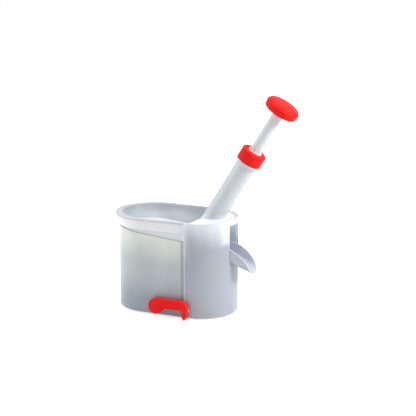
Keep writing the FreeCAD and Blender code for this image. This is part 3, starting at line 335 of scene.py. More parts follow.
class LightStripMask(Effect):
    """Marks a strip of a wall for painted light and shade, between two places along X, with soft sides."""

    name = "light_strip_mask"
    inputs = {"Left": -0.008, "Right": -0.004, "Soft": 0.0006, "Bottom": 0.0, "Top": 0.1145, "Amount": 0.4}

    def join(self) -> None:
        """Joins the strip's sides, top and bottom."""
        x, _, z = self.split()
        left, right, low, soft = (self.given[label] for label in ("Left", "Right", "Bottom", "Soft"))
        start = self.ranged(x, self.maths("SUBTRACT", left, soft), left)
        end = self.ranged(x, right, self.maths("ADD", right, soft), 1.0, 0.0)
        over = self.ranged(z, self.maths("SUBTRACT", low, soft), low)
        under = self.maths("LESS_THAN", z, self.given["Top"])
        self.give(self.product(start, end, over, under, self.given["Amount"]))


class HeightShade(Effect):
    """Painted light and shade: three colours blended up the height of a piece, with a little drift in where they
    change.
    """

    name = "height_shade"
    inputs = {"Upper": (1.0, 1.0, 1.0), "Middle": (1.0, 1.0, 1.0), "Lower": (1.0, 1.0, 1.0),
              "Top": 0.11, "Waist": 0.06, "Bottom": 0.01}
    outputs = ("Color",)
    cloud_scale = 22.0
    drift = 0.03

    def join(self) -> None:
        """Joins the colours by the drifting height."""
        given = self.given
        cloud = self.noise(self.place(), self.cloud_scale, detail=3.0)
        height = self.maths("ADD", self.split()[2], self.product(self.maths("SUBTRACT", cloud, 0.5), self.drift))
        low = self.ranged(height, given["Bottom"], given["Waist"])
        high = self.ranged(height, given["Waist"], given["Top"])
        self.give(self.blended(high, self.blended(low, given["Lower"], given["Middle"]), given["Upper"]))


class Coat(Shading):
    """A material in the making: its surface, with the masks of slow flow marks and of edges for the colour."""

    flow: Socket
    edges: Socket

    def __init__(self, tree: bpy.types.NodeTree) -> None:
        """Starts the material with its surface."""
        super().__init__(tree)
        self.surface = self.add("BsdfPrincipled")
        self.add("OutputMaterial", {"Surface": self.surface.outputs["BSDF"]})

    def effect(self, effect: Effect, values: dict[str, float | RGB] | None = None) -> Mapping[str, Socket]:
        """Puts an effect in the material with these inputs set, and gives its outputs."""
        return self.add("Group", values, node_tree=effect.tree).outputs

    def shades(self, marked: RGB, plain: RGB, edge: RGB) -> Socket:
        """Gives the plain colour with another in its flow marks and one at its edges."""
        return self.blended(self.edges, self.blended(self.flow, marked, plain), edge)


@dataclass(frozen=True)
class Finish:
    """A finish that can be put on a piece, with the grain, flow marks and scuffs of its skin."""

    name: str
    slot: Slot
    grain: float = 2400.0
    flow: float = 38.0
    depth: float = 0.00006
    roughness: float = 0.42
    spread: float = 0.1
    marks: float = 0.35
    edge_highlight_and_wear: float = 0.5
    scuff_scale: ClassVar[float] = 1.6
    scuff_dulling: ClassVar[float] = 0.25
    bump: ClassVar[float] = 0.35

    def build(self, coat: Coat) -> None:
        """Feeds the surface its colour; each kind of finish has its own.

        Args:
            coat: The material in the making.
        """
        raise NotImplementedError

    def material(self) -> bpy.types.Material:
        """Makes the finish's material the first time it is asked for.

        Returns:
            The material.
        """
        if self.name in bpy.data.materials:
            return bpy.data.materials[self.name]
        made = bpy.data.materials.new(self.name)
        made.use_nodes = True
        coat = Coat(made.node_tree)
        self.skin(coat)
        self.build(coat)
        log.info("finish %s", self.name)
        return made

    def skin(self, coat: Coat) -> None:
        """Gives the surface its grain, scuffs, soft edges and roughness.

        Args:
            coat: The material in the making, which gets its masks here.
        """
        moulded = coat.effect(MouldedSkin(), {"Grain Scale": self.grain, "Flow Scale": self.flow,
                                              "Roughness": self.roughness, "Spread": self.spread})
        scuffs = coat.effect(HandlingMarks(), {"Scale": self.flow * self.scuff_scale, "Amount": self.marks})
        edges = coat.effect(SoftEdges(), {"Amount": self.edge_highlight_and_wear})
        height = coat.maths("ADD", moulded["Height"], scuffs["Height"])
        bump = coat.add("Bump", {"Strength": self.bump, "Distance": self.depth, "Height": height,
                                 "Normal": edges["Normal"]})
        rough = coat.maths("ADD", moulded["Roughness"], coat.product(scuffs["Mask"], self.scuff_dulling))
        coat.fill(coat.surface, {"Normal": bump.outputs["Normal"], "Roughness": rough})
        coat.flow, coat.edges = moulded["Flow"], edges["Mask"]


@dataclass(frozen=True)
class PaintedLightStrip:
    """An upright strip of a wall in another colour, painted light where it is paler and painted shade where it is
    darker, between two places along X.
    """

    left: float
    right: float
    colour: RGB
    share: float
    bottom: float = 0.0
    top: float = 0.1145
    soft: float = 0.0006

    def over(self, coat: Coat, skin: Socket) -> Socket:
        """Lays the strip's painted light or shade over a colour.

        Args:
            coat: The material in the making.
            skin: The colour that the strip lies over.

        Returns:
            The colour with the strip.
        """
        mark = coat.effect(LightStripMask(), {"Left": self.left, "Right": self.right, "Soft": self.soft,
                                            "Bottom": self.bottom, "Top": self.top, "Amount": self.share})
        return coat.blended(mark["Mask"], skin, self.colour)


@dataclass(frozen=True)
class FrostedPlastic(Finish):
    """Milky moulded plastic that lets a little light through, with painted light and shade in its tones from the top
    of the wall down.
    """

    tones: tuple[RGB, RGB, RGB] = ((0.8, 0.8, 0.8),) * 3
    heights: tuple[float, float, float] = (0.112, 0.07, 0.01)
    glow: float = 0.5
    groove_end: float | None = None
    inner_light: float = 0.0
    painted_light_strips: tuple[PaintedLightStrip, ...] = ()
    flow_tone: ClassVar[tuple[float, float]] = (0.965, 1.02)
    edge_highlight: ClassVar[RGB] = (0.9, 0.9, 0.9)
    shade: ClassVar[RGB] = (0.3, 0.32, 0.35)
    lit: ClassVar[RGB] = (0.5, 0.57, 0.7)

    def build(self, coat: Coat) -> None:
        """Joins the painted light and shade by height, the painted light along upright bands of the wall, the painted
        shadow in the groove and the painted glow inside the wall.

        Args:
            coat: The material in the making.
        """
        labels = ("Upper", "Middle", "Lower", "Top", "Waist", "Bottom")
        # Painted light and shade by height, standing in for how light falls on the wall and for the dark inside.
        shaded_tone = coat.effect(HeightShade(), dict(zip(labels, (*self.tones, *self.heights))))["Color"]
        pale = coat.add("HueSaturation", {"Color": shaded_tone, "Value": coat.ranged(coat.flow, 0.0, 1.0, *self.flow_tone)})
        # Painted highlight along the edges.
        skin = coat.blended(coat.edges, pale.outputs["Color"], self.edge_highlight)
        for strip in self.painted_light_strips:
            skin = strip.over(coat, skin)
        # Painted shadow along the crease above the drawer.
        if self.groove_end is not None:
            groove = coat.effect(CreaseShadow(), {"End": self.groove_end})
            skin = coat.blended(groove["Mask"], skin, self.shade)
        # Painted light: the marked inside faces glow, standing in for light through the milky wall.
        if self.inner_light > 0:
            lit = coat.blended(coat.effect(LightInside())["Mask"], (0.0, 0.0, 0.0), self.lit)
            coat.fill(coat.surface, {"Emission Color": lit, "Emission Strength": self.inner_light})
        coat.fill(coat.surface, {"Base Color": skin, "Subsurface Weight": self.glow,
                                 "Subsurface Radius": (1.0, 0.95, 0.9), "Subsurface Scale": 0.005,
                                 "IOR": 1.49, "Specular IOR Level": 0.42})


@dataclass(frozen=True)
class GlossPlastic(Finish):
    """Solid coloured plastic, a little deeper in colour in its flow marks and paler at its edges for a painted
    highlight.
    """

    grain: float = 1900.0
    flow: float = 55.0
    depth: float = 0.00005
    roughness: float = 0.4
    marks: float = 0.6
    colour: RGB = (0.8, 0.1, 0.1)
    deep: RGB = (0.6, 0.05, 0.05)
    # The colour at the edges, a painted highlight.
    pale: RGB = (0.8, 0.1, 0.1)

    def build(self, coat: Coat) -> None:
        """Joins the colour, its deeper flow marks and the painted highlight at its edges."""
        coat.fill(coat.surface, {"Base Color": coat.shades(self.deep, self.colour, self.pale),
                                 "Subsurface Weight": 0.08, "Subsurface Radius": (1.0, 0.25, 0.2),
                                 "Subsurface Scale": 0.0012, "IOR": 1.46, "Specular IOR Level": 0.03})


@dataclass(frozen=True)
class BrushedSteel(Finish):
    """Drawn or rolled stainless steel with fine lines across it."""

    grain: float = 5200.0
    flow: float = 240.0
    depth: float = 0.00003
    roughness: float = 0.24
    spread: float = 0.18
    marks: float = 0.8
    colour: RGB = (0.62, 0.62, 0.63)
    worn: RGB = (0.75, 0.75, 0.76)
    darker: ClassVar[float] = 0.82

    def build(self, coat: Coat) -> None:
        """Joins the metal's colour and its lines."""
        dark = tuple(share * self.darker for share in self.colour)
        coat.fill(coat.surface, {"Base Color": coat.shades(dark, self.colour, self.worn), "Metallic": 1.0})


@dataclass(frozen=True)
class SoftRubber(Finish):
    """Matt rubber or silicone with a dusty bloom."""

    grain: float = 3100.0
    flow: float = 90.0
    depth: float = 0.00005
    roughness: float = 0.62
    spread: float = 0.2
    marks: float = 0.3
    colour: RGB = (0.5, 0.5, 0.5)
    bloom: RGB = (0.6, 0.6, 0.6)
    clear: float = 0.0

    def build(self, coat: Coat) -> None:
        """Joins the bloom over the rubber's colour, and the light that goes through."""
        coat.fill(coat.surface, {"Base Color": coat.shades(self.colour, self.bloom, self.bloom),
                                 "Subsurface Weight": 0.15, "Subsurface Scale": 0.002,
                                 "Transmission Weight": self.clear, "IOR": 1.41})


# Painted shade by height for the deck, its tube and the tube's foot: greyer up the tube, near white on the deck.
DECK_TONES = (linear(206, 210, 216), linear(244, 245, 247), linear(244, 245, 247))
DECK_HEIGHTS = (0.138, 0.1275, 0.1)


@dataclass(frozen=True)
class Finishes:
    """Every finish on the pitter."""

    housing: Finish = FrostedPlastic(
        "frosted_housing", Slot.FROSTED_WHITE, groove_end=-0.0048, inner_light=0.38,
        # Painted light on the top band of the wall and painted shade lower down, where the inside is dark.
        tones=(linear(221, 224, 229), linear(168, 174, 183), linear(174, 179, 188)), heights=(0.13, 0.093, 0.02),
        # Painted highlight along the seam by the drawer, painted light on the left of the flared band and at the
        # corner of the wall by the window.
        painted_light_strips=(PaintedLightStrip(-0.0046, -0.0034, (0.9, 0.9, 0.92), 0.7),
                PaintedLightStrip(-0.13, -0.018, (1.0, 0.99, 0.975), 0.9, bottom=0.095, top=0.2, soft=0.0245),
                PaintedLightStrip(0.0445, 0.0475, (1.0, 0.99, 0.98), 0.35, bottom=0.103, top=0.2, soft=0.007)))
    deck: Finish = FrostedPlastic(
        "milky_deck", Slot.FROSTED_WHITE, roughness=0.36, glow=0.08, inner_light=0.38,
        tones=DECK_TONES, heights=DECK_HEIGHTS)
    tube_foot: Finish = FrostedPlastic(
        "milky_tube_foot", Slot.FROSTED_WHITE, edge_highlight_and_wear=0.0, roughness=0.36, glow=0.0,
        tones=DECK_TONES, heights=DECK_HEIGHTS)
    hopper: Finish = FrostedPlastic(
        "milky_hopper", Slot.FROSTED_WHITE, roughness=0.38, inner_light=0.38,
        # Painted shade on the lip and low on the wall, paler in between.
        tones=(linear(198, 202, 208), linear(227, 231, 235), linear(200, 206, 213)), heights=(0.1275, 0.112, 0.05))
    chute: Finish = FrostedPlastic(
        "milky_chute", Slot.FROSTED_WHITE, roughness=0.34, tones=(linear(192, 197, 207),) * 3)
    drawer: Finish = FrostedPlastic(
        "smoky_drawer", Slot.TRANSLUCENT_DRAWER, roughness=0.3, glow=0.3,
        # Painted shade: darker towards the bottom, where the inside is dark.
        tones=(linear(228, 230, 221), linear(189, 196, 197), linear(157, 167, 176)), heights=(0.112, 0.066, 0.012),
        # Painted shade in a strip along the drawer's edge by the seam.
        painted_light_strips=(PaintedLightStrip(-0.0082, -0.004, linear(112, 124, 144), 0.5),))
    bearing: Finish = FrostedPlastic(
        "moulded_bearing", Slot.WHITE_BEARING, roughness=0.33, glow=0.1, tones=(linear(214, 217, 220),) * 3)
    # Paler at the edges for a painted highlight.
    red: Finish = GlossPlastic(
        "shiny_red", Slot.RED_GLOSS, edge_highlight_and_wear=0.3, colour=linear(243, 44, 40), deep=linear(236, 38, 35),
        pale=linear(245, 50, 46))
    steel: Finish = BrushedSteel("drawn_steel", Slot.STAINLESS)
    clear_rubber: Finish = SoftRubber(
        "clear_rubber", Slot.RUBBER_CLEAR, colour=linear(198, 202, 200), bloom=linear(214, 217, 214), clear=0.25)
    foot_rubber: Finish = SoftRubber(
        "foot_rubber", Slot.RUBBER_FOOT, colour=linear(120, 126, 132), bloom=linear(146, 151, 156))


def place_in_scene(name: str, data: bpy.types.ID) -> bpy.types.Object:
    """Puts a new object with this data in the scene.

    Args:
        name: The object's name.
        data: Its mesh, lamp or camera.

    Returns:
        The object.
    """
    made = bpy.data.objects.new(name, data)
    bpy.context.scene.collection.objects.link(made)
    return made


Outline = Sequence[tuple[float | Callable[[float], float], float]]


@dataclass(frozen=True)
class Axle:
    """A straight axis with a direction across it, in millimetres."""

    foot: Vector
    along: Vector
    across: Vector

    def spot(self, radius: float, distance: float, angle: float = 0.0) -> Vector:
        """Gives a point at a radius from the axis, a distance along it and an angle round it."""
        side = self.along.cross(self.across)
        outward = self.across * math.cos(angle) + side * math.sin(angle)
        return self.foot + self.along * distance + outward * radius


def upright(x: float, y: float) -> Axle:
    """Gives an axle that stands on the table at a place."""
    return Axle(Vector((x, y, 0.0)), Vector((0.0, 0.0, 1.0)), Vector((1.0, 0.0, 0.0)))


def plunger_axle(tilt: float = 31.8, foot: float = 16.9, deck: float = 127.0) -> Axle:
    """Gives the leaning axis of the plunger, from where it meets the deck.

    Args:
        tilt: Degrees from upright, towards the chute.
        foot: X where the axis meets the deck.
        deck: Height of the deck.

    Returns:
        The axle.
    """
    lean = math.radians(tilt)
    along = Vector((math.sin(lean), 0.0, math.cos(lean)))
    return Axle(Vector((foot, 0.0, deck)), along, Vector((math.cos(lean), 0.0, -math.sin(lean))))


def rounded(corners: Sequence[tuple[float, float, float]], steps: int = 6,
            most: float = 0.49) -> list[tuple[float, float]]:
    """Rounds the corners of an outline with arcs.

    Args:
        corners: Both coordinates of each corner and the radius of its arc, 0 for a sharp one.
        steps: How many short runs an arc has.
        most: The share of a side that an arc may take.

    Returns:
        The outline's points.
    """
    points: list[tuple[float, float]] = []
    for index, (first, second, size) in enumerate(corners):
        if size <= 0:
            points.append((first, second))
            continue
        here = Vector((first, second))
        back = Vector(corners[index - 1][:2]) - here
        onward = Vector(corners[(index + 1) % len(corners)][:2]) - here
        half = back.angle(onward) / 2
        run = min(size / math.tan(half), most * back.length, most * onward.length)
        bend = run * math.tan(half)
        middle = here + (back.normalized() + onward.normalized()).normalized() * (bend / math.sin(half))
        start = here + back.normalized() * run - middle
        end = here + onward.normalized() * run - middle
        for step in range(steps + 1):
            spot = middle + start.slerp(end, step / steps).normalized() * bend
            points.append((spot.x, spot.y))
    return points


def arc(centre: tuple[float, float], radius: float, start: float, end: float, steps: int) -> list[tuple[float, float]]:
    """Gives the points of an arc.

    Args:
        centre: Its centre.
        radius: Its radius.
        start: The angle where it starts, in degrees.
        end: The angle where it ends.
        steps: How many short runs it has.

    Returns:
        The points, both ends included.
    """
    turns = [math.radians(start + (end - start) * step / steps) for step in range(steps + 1)]
    return [(centre[0] + radius * math.cos(turn), centre[1] + radius * math.sin(turn)) for turn in turns]


class Shape:
    """A mesh in the making, in millimetres."""

    on_axis = 0.001
    keen_angle = 0.9

    def __init__(self) -> None:
        """Starts with nothing."""
        self.points: list[Vector] = []
        self.faces: list[tuple[int, ...]] = []

    def row(self, points: Sequence[Vector]) -> list[int]:
        """Adds a row of points and gives their numbers."""
        start = len(self.points)
        self.points.extend(points)
        return list(range(start, len(self.points)))

    def join(self, first: list[int], second: list[int], closed: bool = True) -> None:
        """Joins two rows with faces; a row of one point is joined as a fan.

        Args:
            first: Numbers of the first row's points.
            second: Numbers of the second row's points.
            closed: Whether the rows run all the way round.
        """
        if len(first) == 1 and len(second) == 1:
            return
        count = max(len(first), len(second))
        for index in range(count if closed else count - 1):
            after = (index + 1) % count
            if len(first) == 1:
                self.faces.append((first[0], second[after], second[index]))
            elif len(second) == 1:
                self.faces.append((first[index], first[after], second[0]))
            else:
                self.faces.append((first[index], first[after], second[after], second[index]))

    def join_all(self, rows: Sequence[list[int]], closed: bool = True) -> None:
        """Joins each row to the next."""
        for first, second in zip(rows, rows[1:]):
            self.join(first, second, closed)

    def turn(self, axle: Axle, outline: Outline, segments: int = 96, ring: bool = False) -> None:
        """Turns an outline about an axle.

        Args:
            axle: The axis.
            outline: Radius and distance along the axis of each point; a radius may change with the angle.
            segments: How many points each row has.
            ring: Whether the outline is closed, as a washer's section is.
        """
        angles = [2 * math.pi * index / segments for index in range(segments)]
        rows = []
        for radius, distance in outline:
            if callable(radius):
                spots = [axle.spot(radius(angle), distance, angle) for angle in angles]
            elif radius < self.on_axis:
                spots = [axle.spot(0.0, distance)]
            else:
                spots = [axle.spot(radius, distance, angle) for angle in angles]
            rows.append(self.row(spots))
        self.join_all(rows + rows[:1] if ring else rows)

    def wind(self, path: Sequence[Vector], radius: float, sides: int = 12) -> None:
        """Lays a round wire along a path and closes its ends.

        Args:
            path: The wire's middle line.
            radius: The wire's radius.
            sides: How many sides the wire has.
        """
        rows = []
        across = (path[1] - path[0]).orthogonal().normalized()
        for index, spot in enumerate(path):
            heading = (path[min(index + 1, len(path) - 1)] - path[max(index - 1, 0)]).normalized()
            across = (across - heading * across.dot(heading)).normalized()
            rows.append(self.row([Axle(spot, heading, across).spot(radius, 0.0, 2 * math.pi * side / sides)
                                  for side in range(sides)]))
        self.join_all(rows)
        self.join(rows[0], self.row([path[0]]))
        self.join(rows[-1], self.row([path[-1]]))

    def piece(self, name: str, finish: Finish, bevel: float = 0.0, crease: float = 38.0) -> bpy.types.Object:
        """Turns the shape into an object of the scene.

        Args:
            name: The object's name.
            finish: What it is finished in.
            bevel: Rounding of its sharp edges, in millimetres.
            crease: Edges that bend more than this many degrees stay sharp.

        Returns:
            The object.
        """
        mesh = bpy.data.meshes.new(name)
        mesh.from_pydata([point * MM for point in self.points], [], self.faces)
        work = bmesh.new()
        work.from_mesh(mesh)
        bmesh.ops.remove_doubles(work, verts=work.verts, dist=1e-6)
        bmesh.ops.recalc_face_normals(work, faces=work.faces)
        if bevel > 0:
            keen = [edge for edge in work.edges
                    if len(edge.link_faces) == 2 and edge.calc_face_angle() > self.keen_angle]
            bmesh.ops.bevel(work, geom=keen, offset=bevel * MM, segments=4, profile=0.5, affect="EDGES",
                            clamp_overlap=True)
        for face in work.faces:
            face.smooth = True
        for edge in work.edges:
            edge.smooth = len(edge.link_faces) == 2 and edge.calc_face_angle() <= math.radians(crease)
        work.to_mesh(mesh)
        work.free()
        made = place_in_scene(name, mesh)
        mesh.materials.append(finish.material())
        log.info("piece %s: %d faces, %s", name, len(mesh.polygons), finish.name)
        return made


def mount(piece: bpy.types.Object, body: Body, *nodes: str) -> None:
    """Lets a piece ride on a body, in place of the frame's parts of these names."""
    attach(piece, body.value)
    if nodes:
        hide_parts(*nodes)


@dataclass
class SubAssembly:
    """A group of pieces that are built together, with the frame's parts by name and the finishes."""

    parts: dict[str, bpy.types.Object]
    finishes: Finishes

    def dress(self, finish: Finish, *names: str) -> None:
        """Gives parts of the frame their finish.

        Args:
            finish: What they wear.
            names: The parts' names.
        """
        for name in names:
            part = self.parts[name]
            part.data.materials.clear()
            part.data.materials.append(finish.material())
            log.info("part %s wears %s", name, finish.name)

    def build(self) -> None:
        """Makes and dresses the pieces; each sub-assembly has its own."""
        raise NotImplementedError


@dataclass
class HousingShell(SubAssembly):
    """The oval housing with its deck, its leaning tube, the tray under it and the tray's screws."""

    tube_radius: float = 13.5
    deck: float = 127.0
    deck_edge: float = 2.2
    blend: float = 4.6
    blend_least: float = 0.02
    blend_fade: float = 6.0
    blend_spread: float = 1.1
    blend_lift: float = 0.03
    skirt: float = 0.5
    sunk: float = 0.4
    blend_rows: int = 120
    blend_steps: int = 6
    right_centre: float = 1.0
    boss_place: float = 42.5
    boss_angle: float = 22.0
    side_boss: float = 12.0
    head_low: float = 6.0
    head_high: float = 8.0
    head_radius: float = 2.9
    head_round: float = 0.9
    shank_radius: float = 1.5
    shank_top: float = 28.3
    shank_point: float = 1.2
    slot_arm: float = 1.75
    slot_half: float = 0.42
    slot_depth: float = 1.2
    slot_taper: float = 0.72
    slot_lip: float = 0.02
    slot_rim: float = 0.25
    head_flat: float = 0.3

    def tube_blend(self) -> None:
        """Runs a hollow fillet round the foot of the tube, thinning out where the deck ends."""
        axle = plunger_axle()
        lift = Vector((0.0, 0.0, self.blend_lift))
        shape = Shape()
        rows = []
        for index in range(self.blend_rows + 1):
            wall = axle.spot(self.tube_radius, 0.0, 2 * math.pi * index / self.blend_rows)
            foot = wall + axle.along * ((self.deck - wall.z) / axle.along.z)
            out = Vector((foot.x - axle.foot.x, foot.y, 0.0)).normalized()
            room = max(0.0, min(1.0, (foot.x - self.deck_edge) / self.blend_fade))
            size = self.blend * room * room * (3 - 2 * room) + self.blend_least
            high = foot + axle.along * size
            low = foot + out * size * self.blend_spread
            spots = [foot - out * self.sunk - Vector((0.0, 0.0, self.sunk))]
            for step in range(self.blend_steps + 1):
                share = step / self.blend_steps
                spots.append(high * (1 - share) ** 2 + foot * (2 * share * (1 - share)) + low * share ** 2 + lift)
            spots.append(low + out * self.skirt - lift)
            rows.append(shape.row(spots))
        shape.join_all(rows)
        mount(shape.piece("tube_foot_fillet", self.finishes.tube_foot, crease=80.0), Body.HOUSING)

    def cross_slot(self, angle: float) -> float:
        """Gives the edge of the cross recess in a screw's head, as a radius at an angle."""
        short, long = sorted((abs(math.cos(angle)), abs(math.sin(angle))))
        return min(self.slot_arm / long, self.slot_half / max(short, 0.001))

    def places(self) -> list[tuple[float, float]]:
        """Gives where the screws stand.

        Returns:
            X and Y of each.
        """
        turn = math.radians(self.boss_angle)
        end = (self.right_centre + self.boss_place * math.cos(turn), self.boss_place * math.sin(turn))
        side = (self.side_boss, math.sqrt(self.boss_place ** 2 - (self.side_boss - self.right_centre) ** 2))
        return [(x, sign * y) for sign in (-1, 1) for x, y in (end, side)]

    def screws(self) -> None:
        """Makes the pan head screws with cross recesses that hold the tray."""
        low, high, arm = self.head_low, self.head_high, self.slot_arm
        bottom = low + self.slot_depth
        outline = [
            (0.0, bottom),
            (lambda angle: self.slot_taper * self.cross_slot(angle), bottom),
            (self.cross_slot, low + self.slot_lip),
            (arm + self.slot_rim, low),
            *rounded([(arm + self.head_flat, low, 0.0), (self.head_radius, low, self.head_round),
                      (self.head_radius, high, 0.0)])[1:],
            (self.shank_radius, high),
            (self.shank_radius, self.shank_top - self.shank_point),
            (0.0, self.shank_top),
        ]
        shape = Shape()
        for x, y in self.places():
            shape.turn(upright(x, y), outline, segments=64)
        mount(shape.piece("tray_screws", self.finishes.steel), Body.HOUSING, "base_screws")

    def build(self) -> None:
        """Dresses the housing's parts and adds its small forms."""
        self.dress(self.finishes.housing, "housing_shell", "base_tray")
        self.dress(self.finishes.deck, "deck")
        self.tube_blend()
        self.screws()


@dataclass
class Plunger(SubAssembly):
    """The stem with its knob, the screw cap and bush that guide it, the pin and its spring."""

    cap_low: float = 94.3
    cap_top: float = 110.5
    cap_radius: float = 16.7
    cap_wall_in: float = 13.2
    cap_hole: float = 9.5
    cap_plate: float = 2.6
    knob_low: float = 171.2
    knob_top: float = 184.9
    knob_radius: float = 22.7
    knob_lip: float = 0.2
    spigot_radius: float = 5.0
    spigot_length: float = 6.5
    coil_radius: float = 8.4
    wire_radius: float = 0.65
    coil_low: float = -8.65
    coil_high: float = 99.75
    coils: int = 11
    coil_steps: int = 40
    closed_coils: float = 1.1
    closed_pitch: float = 2.1
    travel: float = 58.0

    def knob(self) -> None:
        """Turns the domed knob."""
        low, top, radius, lip = self.knob_low, self.knob_top, self.knob_radius, self.knob_lip
        neck, inside = self.spigot_radius, self.knob_low + self.spigot_length
        side = rounded([
            (neck, low + lip, 0.0),
            (radius - 9.0, low, 0.0),
            (radius - 0.9, low + lip, 3.0),
            (radius, top - 4.6, 2.4),
            (radius - 2.8, top - 1.3, 3.0),
            (radius / 2, top - 0.35, 0.0),
        ], 8)
        shape = Shape()
        shape.turn(plunger_axle(), [(0.0, inside), (neck, inside), *side, (radius / 4, top - 0.08), (0.0, top)], 128)
        mount(shape.piece("round_knob", self.finishes.red, crease=50.0), Body.PLUNGER, "plunger_knob")

    def cap(self) -> None:
        """Turns the screw cap."""
        low, top, plate = self.cap_low, self.cap_top, self.cap_top - self.cap_plate
        outline = rounded([
            (self.cap_wall_in, low, 0.3),
            (self.cap_radius, low, 1.1),
            (self.cap_radius, top, 2.4),
            (self.cap_hole, top, 1.0),
            (self.cap_hole, plate, 0.3),
            (self.cap_wall_in, plate, 0.3),
        ], 7)
        shape = Shape()
        shape.turn(plunger_axle(), outline, 128, ring=True)
        mount(shape.piece("screw_cap", self.finishes.red, crease=50.0), Body.HOUSING, "tube_cap")

    def coil_height(self, share: float) -> float:
        """Gives how high the spring's wire is along its axis, with closed coils at both ends.

        Args:
            share: The share of the wire that lies below, 0 to 1.

        Returns:
            The distance along the axis.
        """
        dead = self.closed_coils / self.coils
        rise = self.closed_pitch * self.wire_radius * self.closed_coils
        if share < dead:
            return self.coil_low + rise * share / dead
        if share > 1 - dead:
            return self.coil_high - rise * (1 - share) / dead
        run = (share - dead) / (1 - 2 * dead)
        return self.coil_low + rise + run * (self.coil_high - self.coil_low - 2 * rise)

    def spring(self) -> None:
        """Winds the return spring."""
        axle = plunger_axle()
        steps = self.coil_steps * self.coils
        path = [axle.spot(self.coil_radius, self.coil_height(share), 2 * math.pi * self.coils * share)
                for share in (step / steps for step in range(steps + 1))]
        shape = Shape()
        shape.wind(path, self.wire_radius)
        piece = shape.piece("wound_spring", self.finishes.steel, crease=60.0)
        mount(piece, Body.HOUSING, "return_spring")
        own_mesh(piece)

    def build(self) -> None:
        """Makes the red pieces and the spring, and dresses the rest."""
        self.dress(self.finishes.bearing, "plunger_stem", "guide_bush", "stripper_disc")
        self.dress(self.finishes.steel, "pitting_pin")
        self.knob()
        self.cap()
        self.spring()


@dataclass
class PittingCup(SubAssembly):
    """The cup that holds one fruit under the pin, with its star gasket and the ring that holds the gasket."""

    star_low: float = -67.4
    star_thick: float = 1.4
    star_radius: float = 14.0
    star_hole: float = 2.7
    star_edge: float = 0.25
    slit_end: float = 5.2
    slit_half: float = 0.3
    dish: float = 0.5
    slit_rings: tuple[float, ...] = (3.4, 4.3)
    sheet_rings: tuple[float, ...] = (5.7, 7.0, 9.0, 12.0, 13.7)
    petals: int = 10
    petal_steps: int = 8
    ring_low: float = -69.0
    ring_radius: float = 16.4
    ring_hole: float = 9.5
    ring_wall_in: float = 14.55
    ring_top: float = -63.3

    def petal_row(self, petal: int, radius: float, upper: bool) -> list[Vector]:
        """Gives the points across a petal at a radius, a little dished towards the middle.

        Args:
            petal: Its number.
            radius: The radius from the gasket's axis.
            upper: Whether they lie on the upper side.

        Returns:
            The points.
        """
        slack = self.slit_half / radius if radius <= self.slit_end else 0.0
        start = 2 * math.pi * petal / self.petals + slack
        end = 2 * math.pi * (petal + 1) / self.petals - slack
        dish = self.dish * max(0.0, 1 - radius / self.slit_end)
        edge = self.star_edge if radius == self.star_radius else 0.0
        height = self.star_low + (self.star_thick - edge - dish if upper else edge)
        return [plunger_axle().spot(radius, height, start + (end - start) * step / self.petal_steps)
                for step in range(self.petal_steps + 1)]

    def star(self) -> None:
        """Makes the gasket with its star of slits between the petals."""
        shape = Shape()
        slit = [self.star_hole, *self.slit_rings, self.slit_end]
        radii = [*slit, *self.sheet_rings, self.star_radius]
        for petal in range(self.petals):
            upper, lower = ([shape.row(self.petal_row(petal, radius, side)) for radius in radii]
                            for side in (True, False))
            for sheet in (upper, lower):
                shape.join_all(sheet, closed=False)
            for level in (0, -1):
                shape.join(upper[level], lower[level], closed=False)
            for column in (0, self.petal_steps):
                for level in range(len(slit)):
                    shape.faces.append((upper[level][column], upper[level + 1][column],
                                        lower[level + 1][column], lower[level][column]))
        mount(shape.piece("slit_star", self.finishes.clear_rubber), Body.HOUSING, "star_gasket")

    def ring(self) -> None:
        """Makes the ring that clips the gasket under the cup."""
        outline = rounded([
            (self.ring_hole, self.ring_low, 0.5),
            (self.ring_radius, self.ring_low, 0.9),
            (self.ring_radius, self.ring_top, 0.5),
            (self.ring_wall_in, self.ring_top, 0.4),
            (self.ring_wall_in, self.star_low, 0.2),
            (self.ring_hole, self.star_low, 0.5),
        ], 5)
        shape = Shape()
        shape.turn(plunger_axle(), outline, 112, ring=True)
        mount(shape.piece("clip_ring", self.finishes.clear_rubber), Body.HOUSING, "gasket_ring")

    def build(self) -> None:
        """Dresses the cup and makes its two soft pieces."""
        self.dress(self.finishes.bearing, "pitting_cup")
        self.star()
        self.ring()


class FruitPath(SubAssembly):
    """The hopper that feeds the cup, the chute that lets the fruit out and the drawer that keeps the stones."""

    def build(self) -> None:
        """Dresses the three parts."""
        self.dress(self.finishes.hopper, "hopper")
        self.dress(self.finishes.chute, "discharge_chute")
        self.dress(self.finishes.drawer, "stone_drawer")


